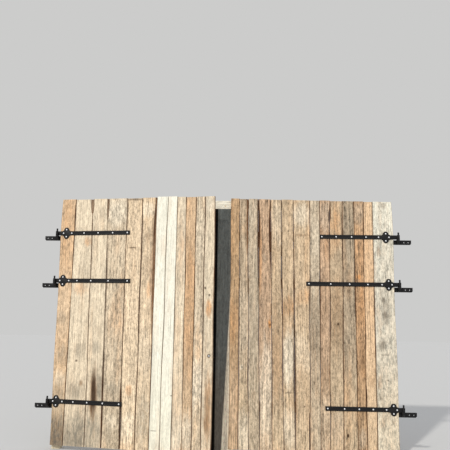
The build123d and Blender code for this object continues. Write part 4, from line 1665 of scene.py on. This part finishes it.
@dataclass(frozen=True)
class Rosette:
    """A strap's four-lobed plate, fuller than its CAD outline: lobes above, below and along the bar.

    Args:
        reach_along: from the plate's middle to the middle of a lobe that lies on the bar.
        reach_across: the same for the lobes above and below the bar.
        radius: radius of a lobe.
        sharpness: how sharp the notches between the lobes are.
        steps: points round the edge.
        past_bar: distance from the bar's centre line past which the CAD strap has only its lobes.
    """

    reach_along: float = 30 * MM
    reach_across: float = 36 * MM
    radius: float = 33.5 * MM
    sharpness: float = 14.0
    steps: int = 144
    past_bar: float = 30 * MM

    def edge(self) -> tuple[np.ndarray, np.ndarray]:
        """Goes round the plate's edge.

        Returns:
            Places along and across the bar, about the plate's middle.
        """
        angles = np.linspace(0.0, 2 * math.pi, self.steps, endpoint=False)
        total = np.zeros_like(angles)
        for lobe, reach in enumerate((self.reach_along, self.reach_across) * 2):
            away = angles - lobe * math.pi / 2
            half = np.sqrt(np.clip(self.radius ** 2 - (reach * np.sin(away)) ** 2, 0.0, None))
            farthest = np.where(half > 0, reach * np.cos(away) + half, 0.0)
            total += np.clip(farthest, 0.0, None) ** self.sharpness
        distance = total ** (1 / self.sharpness)
        return distance * np.cos(angles), distance * np.sin(angles)

    def plate(self, node: str, leaf: LeafFrame) -> bpy.types.Mesh:
        """Builds one strap's plate, as thick as the strap and round the middle of its CAD lobes.

        Args:
            node: name of the strap's CAD node.
            leaf: the strap's leaf.

        Returns:
            The plate's mesh in the scene.
        """
        points = leaf.to_leaf(node_mesh(node)[0])
        level = 0.5 * (points[:, 2].min() + points[:, 2].max())
        lobes = points[np.abs(points[:, 2] - level) > self.past_bar]
        middle = 0.5 * (lobes[:, 0].min() + lobes[:, 0].max())
        along, across = self.edge()
        rings = []
        for depth in (lobes[:, 1].min(), lobes[:, 1].max()):
            rings.append(np.stack([middle + along, np.full(self.steps, depth), level + across], axis=1))
        front = range(self.steps)
        following = [(step + 1) % self.steps for step in front]
        faces = [tuple(front), tuple(self.steps + step for step in reversed(front))]
        faces += [(one, self.steps + one, self.steps + two, two) for one, two in zip(front, following)]
        mesh = new_mesh(f"{node}_rosette", leaf.to_scene(np.concatenate(rings)), faces)
        merge_flats(mesh, IRON_EDGES)
        return mesh


@dataclass(frozen=True)
class StrapHinges:
    """The black iron of a leaf: its straps, and the pintles on the frame that they turn on."""

    levels: tuple[str, ...] = ("top", "middle", "bottom")
    rosette: Rosette = Rosette()

    def dress(self, leaf: LeafFrame, finishes: Finishes) -> None:
        """Dresses each strap and its pintle.

        Args:
            leaf: the leaf.
            finishes: the materials.
        """
        for level in self.levels:
            strap = leaf.node(f"strap_{level}")
            pintle = leaf.node(f"pintle_{level}")
            for node, body, plate in (
                (strap, leaf.body, self.rosette.plate(strap, leaf)),
                (pintle, "frame", None),
            ):
                piece = softened_copy(node, IRON_EDGES, plate)
                piece.data.materials.append(finishes.metal(BLACK_IRON))
                stand_for(piece, node, body)


class GrainAxis(Enum):
    """Order of a timber's coordinates that puts the one along its grain last."""

    UPRIGHT = (0, 1, 2)
    LEVEL = (1, 2, 0)


@dataclass(frozen=True)
class Timber:
    """A plain timber of the frame or of a leaf's back, rounded off along its CAD solid's edges.

    Args:
        node: name of its CAD node.
        body: the CAD body that it rides on.
        finish: its looks.
        axis: which way its grain runs.
        seed: which stretch of the noise its grain is.
        edges: how its edges are softened.
        slot: the record's material slot of its finish, where the finish has another name. It is not used.
        grain_shift: how far one timber's grain is from the next one's in the noise.
    """

    node: str
    body: str
    finish: TimberFinish
    axis: GrainAxis
    seed: int
    edges: EdgeSize = TIMBER_EDGES
    slot: str = ""
    grain_shift: tuple[float, float, float] = (0.53, 0.29, 2.3)

    def write_grain(self, mesh: bpy.types.Mesh, local: np.ndarray, light: np.ndarray | float = 1.0) -> None:
        """Writes the timber's grain, the height that its colours follow and how light it is.

        Args:
            mesh: the timber's mesh.
            local: its points in axes that its grain runs along.
            light: how light it is, for each point or for all.
        """
        set_vectors(mesh, "grain", local[:, list(self.axis.value)] + np.array(self.grain_shift) * self.seed)
        fleck = np.zeros_like(local)
        fleck[:, 1] = local[:, 2]
        fleck[:, 2] = light
        set_vectors(mesh, "fleck", fleck)

    def dress(self, finishes: Finishes, piece: bpy.types.Object) -> None:
        """Gives the timber's finished piece its material and puts it in its CAD node's place."""
        piece.data.materials.append(finishes.timber(self.finish))
        stand_for(piece, self.node, self.body)


@dataclass(frozen=True)
class BackTimbers:
    """The ledges and braces on a leaf's back."""

    ledges: tuple[str, ...] = ("ledge_top", "ledge_middle", "ledge_bottom")
    braces: tuple[str, ...] = ("brace_upper", "brace_lower")
    first_seed: int = 3

    def dress(self, leaf: LeafFrame, finishes: Finishes) -> None:
        """Dresses the ledges and the braces.

        Args:
            leaf: the leaf.
            finishes: the materials.
        """
        for seed, part in enumerate(self.ledges + self.braces, start=self.first_seed):
            timber = Timber(leaf.node(part), leaf.body, LEDGE_TIMBER, GrainAxis.LEVEL, seed)
            piece = softened_copy(timber.node, timber.edges)
            local = leaf.to_leaf(mesh_points(piece.data))
            if part in self.braces:
                local = self.laid_level(local)
            timber.write_grain(piece.data, local)
            timber.dress(finishes, piece)

    def laid_level(self, local: np.ndarray) -> np.ndarray:
        """Turns a brace's points until the brace lies level.

        Args:
            local: the brace's points in the leaf's axes.

        Returns:
            The turned points.
        """
        along = local[np.argmax(local[:, 2])] - local[np.argmin(local[:, 2])]
        angle = math.atan2(along[2], along[0])
        turned = local.copy()
        turned[:, 0] = local[:, 0] * math.cos(angle) + local[:, 2] * math.sin(angle)
        turned[:, 2] = local[:, 2] * math.cos(angle) - local[:, 0] * math.sin(angle)
        return turned


@dataclass(frozen=True)
class CentrePost:
    """The grey centre post, with painted light and shade on its face: a pale wedge of painted sunlight
    low at the right, a dark strip of painted shade at the left, a brown rim of painted shade at the right
    and painted shade under the head.

    The wedge's border leans: it is at wedge_foot_x at the foot and at wedge_side_x at wedge_height. The
    strip is the dark one at the left, the rim is the brown one at the right, and the painted shade under
    the head begins at head_edge. A softness is half the distance over which an edge fades. The rows,
    columns and slices are the mesh's, along the post, across its face and through its depth.
    """

    timber: Timber = Timber(
        "frame_centre_post", "frame", POST_TIMBER, GrainAxis.UPRIGHT, 9, slot="frame_timber")
    wedge_height: float = 1.48
    wedge_side_x: float = 61 * MM
    wedge_foot_x: float = -11 * MM
    wedge_softness: float = 6 * MM
    border_swing: float = 3 * MM
    border_waves: float = 6.0
    wedge_pale: float = 1.33
    wedge_light: float = 0.06
    strip_edge: float = -86 * MM
    strip_softness: float = 4 * MM
    strip_light: float = 0.03
    rim_edge: float = 60 * MM
    rim_width: float = 20 * MM
    rim_shade: float = 0.35
    head_edge: float = 2.70
    head_softness: float = 30 * MM
    head_light: float = 0.57
    face_edge: tuple[float, float] = (3.6 * MM, 12 * MM)
    rows: int = 90
    columns: int = 40
    slices: int = 8
    noise_seed: int = 77

    def dress(self, finishes: Finishes) -> None:
        """Dresses the post.

        Args:
            finishes: the materials.
        """
        piece = softened_copy(self.timber.node, self.timber.edges)
        mesh = piece.data
        self.cut_fine(mesh)
        points = mesh_points(mesh)
        x, y, z = points.T
        on_face = 1 - smooth(y - y.min(), *self.face_edge)
        # The pale wedge low at the right of the post's face is painted sunlight.
        wander = LatticeNoise(self.noise_seed).layered(np.zeros_like(z), z * self.border_waves)
        lean = (self.wedge_side_x - self.wedge_foot_x) / self.wedge_height
        border = self.wedge_foot_x + lean * z + self.border_swing * wander
        wedge = smooth(x - border, -self.wedge_softness, self.wedge_softness) * on_face
        # The brown rim beside the right leaf's edge is painted shade, laid in the wood's bark colour.
        rim = on_face * smooth(x, self.rim_edge, self.rim_edge + self.rim_width) * (1 - wedge)
        wear = np.stack([wedge * self.wedge_pale, np.zeros_like(wedge), rim * self.rim_shade], axis=1)
        set_vectors(mesh, "wear", wear)
        # The dark strip at the left is painted shade, carried in the light that the wood reads.
        strip = on_face * (1 - self.past(x, self.strip_edge, self.strip_softness))
        # The darkening under the head is painted shade.
        under_head = on_face * self.past(z, self.head_edge, self.head_softness)
        shade = (1 - (1 - self.strip_light) * strip) * (1 - (1 - self.head_light) * under_head)
        # The wedge is made a little lighter still, as painted light.
        self.timber.write_grain(mesh, points, shade * (1 + self.wedge_light * wedge))
        self.timber.dress(finishes, piece)

    def past(self, value: np.ndarray, edge: float, softness: float) -> np.ndarray:
        """Share by which each value is past an edge of some softness."""
        return smooth(value, edge - softness, edge + softness)

    def cut_fine(self, mesh: bpy.types.Mesh) -> None:
        """Cuts the post's mesh fine enough to carry its colours.

        Args:
            mesh: the mesh.
        """
        points = mesh_points(mesh)
        bm = bmesh.new()
        bm.from_mesh(mesh)
        for axis, count in enumerate((self.columns, self.slices, self.rows)):
            normal = Vector((0, 0, 0))
            normal[axis] = 1
            for place in np.linspace(points[:, axis].min(), points[:, axis].max(), count + 1)[1:-1]:
                whole = bm.verts[:] + bm.edges[:] + bm.faces[:]
                bmesh.ops.bisect_plane(bm, geom=whole, plane_co=normal * float(place), plane_no=normal)
        bm.to_mesh(mesh)
        bm.free()


@dataclass(frozen=True)
class DoorFrame:
    """The frame round the leaves: its jambs, head, pegs and centre post, and the pintles' plate screws."""

    timbers: tuple[Timber, ...] = (
        Timber("frame_jamb_left", "frame", FRAME_TIMBER, GrainAxis.UPRIGHT, 12),
        Timber("frame_jamb_right", "frame", FRAME_TIMBER, GrainAxis.UPRIGHT, 13),
        Timber("frame_head", "frame", FRAME_TIMBER, GrainAxis.LEVEL, 14),
        Timber("frame_pegs", "frame", PEG_TIMBER, GrainAxis.UPRIGHT, 21, IRON_EDGES),
    )
    post: CentrePost = CentrePost()
    plate_screws: str = "pintle_plate_screws"

    def dress(self, finishes: Finishes) -> None:
        """Dresses the frame. The plate screws keep their CAD mesh and only get their material.

        Args:
            finishes: the materials.
        """
        for timber in self.timbers:
            piece = softened_copy(timber.node, timber.edges)
            timber.write_grain(piece.data, mesh_points(piece.data))
            timber.dress(finishes, piece)
        self.post.dress(finishes)
        materials = frame["nodes"][self.plate_screws].data.materials
        materials.clear()
        materials.append(finishes.metal(BLACK_IRON))
        log.info("%s: shown as the CAD has them", self.plate_screws)


@dataclass(frozen=True)
class ScrewSize:
    """A strap screw: its shank, the flange under its head, and the dome with its drive socket.

    The dome stands on the flange and goes round its curve by dome_angle. The lip is the rise of the narrow
    ring round the socket's mouth, and the socket's floor is given as a share of that mouth. The CAD
    screw's plain head stands cad_head over the strap.
    """

    shank_radius: float = 3.3 * MM
    flange_radius: float = 8.4 * MM
    flange_height: float = 1.5 * MM
    dome_height: float = 2.9 * MM
    dome_angle: float = math.radians(68)
    dome_steps: int = 4
    socket_radius: float = 2.6 * MM
    socket_lip: float = 0.02 * MM
    socket_depth: float = 1.6 * MM
    socket_floor: float = 0.8
    sides: int = 24
    cad_head: float = 4.5 * MM
    sharp_angle: float = math.radians(32)

    def inputs(self) -> dict[str, float]:
        """Names the sizes that the screws' node tree takes as inputs.

        Returns:
            The size for each input's name.
        """
        return {
            "Shank Radius": self.shank_radius,
            "Flange Radius": self.flange_radius,
            "Flange Height": self.flange_height,
            "Dome Height": self.dome_height,
            "Socket Radius": self.socket_radius,
            "Socket Lip": self.socket_lip,
            "Socket Depth": self.socket_depth,
        }


class StrapScrews:
    """The strap screws: Geometry Nodes put a domed one at each point of a mesh."""

    def __init__(self, material: bpy.types.Material) -> None:
        """Builds the node tree, whose inputs are the screws' seats, their turn and their sizes.

        Args:
            material: the screws' material.
        """
        self.size = ScrewSize()
        self.tree = bpy.data.node_groups.new("StrapScrews", "GeometryNodeTree")
        self.tree.interface.new_socket("Seats", in_out="INPUT", socket_type="NodeSocketGeometry")
        self.turn_id = self.new_input("Turn", "NodeSocketVector")
        self.size_ids = {name: self.new_input(name, "NodeSocketFloat") for name in self.size.inputs()}
        self.tree.interface.new_socket("Screws", in_out="OUTPUT", socket_type="NodeSocketGeometry")
        g = GraphBuilder(self.tree)
        given = g.add("NodeGroupInput").outputs
        length = g.add("GeometryNodeInputNamedAttribute", data_type="FLOAT")
        g.put(length, {"Name": "length"})
        stretch = g.add("ShaderNodeCombineXYZ")
        g.put(stretch, {0: 1.0, 1: 1.0, 2: length.outputs["Attribute"]})
        join = g.add("GeometryNodeJoinGeometry")
        head = self.head(g, given)
        shank = self.shank(g, given)
        for shape, scale in ((head, {}), (shank, {"Scale": stretch.outputs[0]})):
            spread = g.add("GeometryNodeInstanceOnPoints")
            g.put(spread, {"Points": given["Seats"], "Instance": shape, "Rotation": given["Turn"], **scale})
            g.put(join, {0: spread.outputs[0]})
        real = g.add("GeometryNodeRealizeInstances")
        g.put(real, {0: join.outputs[0]})
        finish = g.add("GeometryNodeSetMaterial")
        g.put(finish, {"Geometry": real.outputs[0], "Material": material})
        g.put(g.add("NodeGroupOutput"), {0: finish.outputs[0]})

    def new_input(self, name: str, kind: str) -> str:
        """Gives the tree an input, and its identifier, which a modifier sets it by."""
        return self.tree.interface.new_socket(name, in_out="INPUT", socket_type=kind).identifier

    def head(self, g: GraphBuilder, given: bpy.types.bpy_prop_collection) -> bpy.types.NodeSocket:
        """Adds the flange and the dome with its drive socket, rising along +Z from the strap's face.

        Args:
            g: builder of the screws' tree.
            given: the tree's inputs.

        Returns:
            The head's output.
        """
        size = self.size
        flange = g.add("GeometryNodeMeshCylinder", fill_type="NGON")
        g.put(flange, {"Vertices": size.sides, "Radius": given["Flange Radius"],
                       "Depth": given["Flange Height"]})
        shape = self.moved(g, flange.outputs["Mesh"], g.maths("DIVIDE", given["Flange Height"], 2.0))
        face = flange.outputs["Top"]
        before = 0.0
        width = 1.0
        for step in range(1, size.dome_steps + 1):
            angle = step / size.dome_steps * size.dome_angle
            share = math.sin(angle) / math.sin(size.dome_angle)
            rise = g.maths("MULTIPLY", given["Dome Height"], share - before)
            shape, face = self.extruded(g, shape, face, rise, math.cos(angle) / width)
            before = share
            width = math.cos(angle)
        rim = g.maths("MULTIPLY", given["Flange Radius"], width)
        mouth = g.maths("DIVIDE", given["Socket Radius"], rim)
        shape, face = self.extruded(g, shape, face, given["Socket Lip"], mouth)
        drop = g.maths("MULTIPLY", given["Socket Depth"], -1.0)
        shape, face = self.extruded(g, shape, face, drop, size.socket_floor)
        return shape

    def extruded(self, g: GraphBuilder, shape: bpy.types.NodeSocket, face: bpy.types.NodeSocket,
                 rise: Value, scale: Value) -> tuple[bpy.types.NodeSocket, bpy.types.NodeSocket]:
        """Pulls a face out and scales it.

        Args:
            g: builder of the screws' tree.
            shape: the shape's output.
            face: the output that chooses the face.
            rise: how far the face is pulled out.
            scale: its new size, as a share of the old.

        Returns:
            The new shape's output, and the output that chooses the face at its new place.
        """
        pull = g.add("GeometryNodeExtrudeMesh", mode="FACES")
        g.put(pull, {"Mesh": shape, "Selection": face, "Offset Scale": rise, "Individual": False})
        grow = g.add("GeometryNodeScaleElements", domain="FACE")
        g.put(grow, {"Geometry": pull.outputs["Mesh"], "Selection": pull.outputs["Top"], "Scale": scale})
        return grow.outputs[0], pull.outputs["Top"]

    def shank(self, g: GraphBuilder, given: bpy.types.bpy_prop_collection) -> bpy.types.NodeSocket:
        """Adds a plain shank one unit long, falling along -Z.

        Args:
            g: builder of the screws' tree.
            given: the tree's inputs.

        Returns:
            The shank's output.
        """
        rod = g.add("GeometryNodeMeshCylinder", fill_type="NGON")
        g.put(rod, {"Vertices": self.size.sides, "Radius": given["Shank Radius"], "Depth": 1.0})
        return self.moved(g, rod.outputs["Mesh"], -0.5)

    def moved(self, g: GraphBuilder, shape: bpy.types.NodeSocket, rise: Value) -> bpy.types.NodeSocket:
        """Moves a shape along Z.

        Args:
            g: builder of the screws' tree.
            shape: the shape's output.
            rise: how far it is moved.

        Returns:
            The moved shape's output.
        """
        place = g.add("ShaderNodeCombineXYZ")
        g.put(place, {"Z": rise})
        lift = g.add("GeometryNodeTransform")
        g.put(lift, {"Geometry": shape, "Translation": place.outputs[0]})
        return lift.outputs[0]

    def solids_of(self, points: np.ndarray, faces: Faces) -> list[np.ndarray]:
        """Takes a CAD node apart.

        Args:
            points: the node's vertices.
            faces: its faces.

        Returns:
            The vertices of each separate solid.
        """
        bm = bmesh.new()
        made = [bm.verts.new(point) for point in points]
        for face in faces:
            if len(set(face)) == len(face):
                bm.faces.new([made[index] for index in face])
        bmesh.ops.remove_doubles(bm, verts=bm.verts, dist=IRON_EDGES.merge)
        seen = set()
        groups = []
        for start in bm.verts:
            if start in seen:
                continue
            seen.add(start)
            queue = [start]
            group = []
            while queue:
                vertex = queue.pop()
                group.append(tuple(vertex.co))
                for edge in vertex.link_edges:
                    other = edge.other_vert(vertex)
                    if other not in seen:
                        seen.add(other)
                        queue.append(other)
            groups.append(np.array(group))
        bm.free()
        return groups

    def dress(self, leaf: LeafFrame) -> None:
        """Puts all the strap screws in a leaf, each at the head of its CAD solid.

        Args:
            leaf: the leaf.
        """
        node = leaf.node("strap_screws")
        seats = []
        lengths = []
        for solid in self.solids_of(*node_mesh(node)):
            local = leaf.to_leaf(solid)
            seat = local[:, 1].min() + self.size.cad_head
            middle = (local.min(axis=0) + local.max(axis=0)) / 2
            seats.append((middle[0], seat, middle[2]))
            lengths.append(local[:, 1].max() - seat)
        mesh = new_mesh(node, leaf.to_scene(np.array(seats)), [])
        attribute = mesh.attributes.new("length", "FLOAT", "POINT")
        attribute.data.foreach_set("value", np.array(lengths, dtype=np.float32))
        piece = new_object(f"skin_{node}", mesh)
        screws = piece.modifiers.new("screws", "NODES")
        screws.node_group = self.tree
        screws[self.turn_id] = (math.radians(90), 0.0, leaf.turn)
        for name, value in self.size.inputs().items():
            screws[self.size_ids[name]] = value
        apply_modifiers(piece)
        shade_smooth(piece.data, self.size.sharp_angle)
        stand_for(piece, node, leaf.body)


@dataclass(frozen=True)
class Studio:
    """The floor, lights and camera. The focal share is the focal length over the sensor's width."""

    floor_half_size: float = 30.0
    floor_colour: Colour = srgb(206, 205, 202)
    floor_roughness: float = 0.95
    backdrop: Colour = srgb(204, 204, 203)
    sky_colour: Colour = srgb(246, 249, 255)
    sky_strength: float = 0.70
    sun_colour: tuple[float, float, float] = (1.0, 0.975, 0.93)
    sun_strength: float = 1.85
    sun_angle: float = math.radians(3)
    sun_from: tuple[float, float, float] = (-0.42, -0.80, 0.62)
    camera_place: tuple[float, float, float] = (0.301, -6.929, 1.589)
    camera_yaw: float = -0.0441
    camera_pitch: float = 0.153
    camera_roll: float = 0.0158
    focal_share: float = 571.35 / 450
    sensor: float = 36.0

    def build(self) -> None:
        """Builds all of the studio."""
        self.floor()
        self.sky()
        self.sun()
        self.camera()

    def floor(self) -> None:
        """A plain pale floor."""
        half = self.floor_half_size
        corners = np.array([(-half, -half, 0), (half, -half, 0), (half, half, 0), (-half, half, 0)])
        mesh = new_mesh("studio_floor", corners, [(0, 1, 2, 3)])
        floor = new_object("studio_floor", mesh)
        material = bpy.data.materials.new("studio_floor")
        material.use_nodes = True
        shader = material.node_tree.nodes["Principled BSDF"]
        shader.inputs["Base Color"].default_value = self.floor_colour
        shader.inputs["Roughness"].default_value = self.floor_roughness
        mesh.materials.append(material)

    def sky(self) -> None:
        """Soft light from all round, with a plain backdrop where the camera sees it."""
        world = bpy.data.worlds.new("studio")
        world.use_nodes = True
        bpy.context.scene.world = world
        world.node_tree.nodes.clear()
        g = GraphBuilder(world.node_tree)
        light = g.add("ShaderNodeBackground")
        g.put(light, {"Color": self.sky_colour, "Strength": self.sky_strength})
        seen = g.add("ShaderNodeBackground")
        g.put(seen, {"Color": self.backdrop, "Strength": 1.0})
        by_camera = g.add("ShaderNodeLightPath").outputs["Is Camera Ray"]
        mix = g.add("ShaderNodeMixShader")
        g.put(mix, {0: by_camera, 1: light.outputs[0], 2: seen.outputs[0]})
        g.put(g.add("ShaderNodeOutputWorld"), {0: mix.outputs[0]})

    def sun(self) -> None:
        """A soft key from the upper left front."""
        lamp = bpy.data.lights.new("key", "SUN")
        lamp.energy = self.sun_strength
        lamp.angle = self.sun_angle
        lamp.color = self.sun_colour
        key = bpy.data.objects.new("key", lamp)
        key.rotation_euler = Vector(self.sun_from).to_track_quat("Z", "Y").to_euler()
        bpy.context.scene.collection.objects.link(key)

    def camera(self) -> None:
        """The camera where the photograph was taken from."""
        yaw, pitch, roll = self.camera_yaw, self.camera_pitch, self.camera_roll
        level = Vector((math.sin(yaw), math.cos(yaw), 0))
        forward = level * math.cos(pitch) + Vector((0, 0, math.sin(pitch)))
        right = Vector((math.cos(yaw), -math.sin(yaw), 0))
        up = right.cross(forward)
        tilted_right = right * math.cos(roll) + up * math.sin(roll)
        tilted_up = up * math.cos(roll) - right * math.sin(roll)
        view = bpy.data.cameras.new("camera")
        view.sensor_width = self.sensor
        view.lens = self.sensor * self.focal_share
        view.dof.use_dof = False
        camera = bpy.data.objects.new("camera", view)
        turn = Matrix((tilted_right, tilted_up, -forward)).transposed()
        camera.matrix_world = Matrix.Translation(self.camera_place) @ turn.to_4x4()
        bpy.context.scene.collection.objects.link(camera)
        bpy.context.scene.camera = camera


def main() -> None:
    """Dresses the whole door, then sets up the studio."""
    logging.basicConfig(level=logging.INFO, format="%(message)s")
    bpy.context.scene.view_settings.view_transform = "Standard"
    finishes = Finishes()
    screws = StrapScrews(finishes.metal(ZINC_AND_GLINT))
    for side, looks in ((Side.LEFT, LEFT_BOARDS), (Side.RIGHT, RIGHT_BOARDS)):
        leaf = LeafFrame.of(side)
        LeafBoards(looks).dress(leaf, finishes)
        StrapHinges().dress(leaf, finishes)
        BackTimbers().dress(leaf, finishes)
        screws.dress(leaf)
    DoorFrame().dress(finishes)
    Studio().build()
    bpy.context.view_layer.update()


if __name__ == "__main__":
    main()
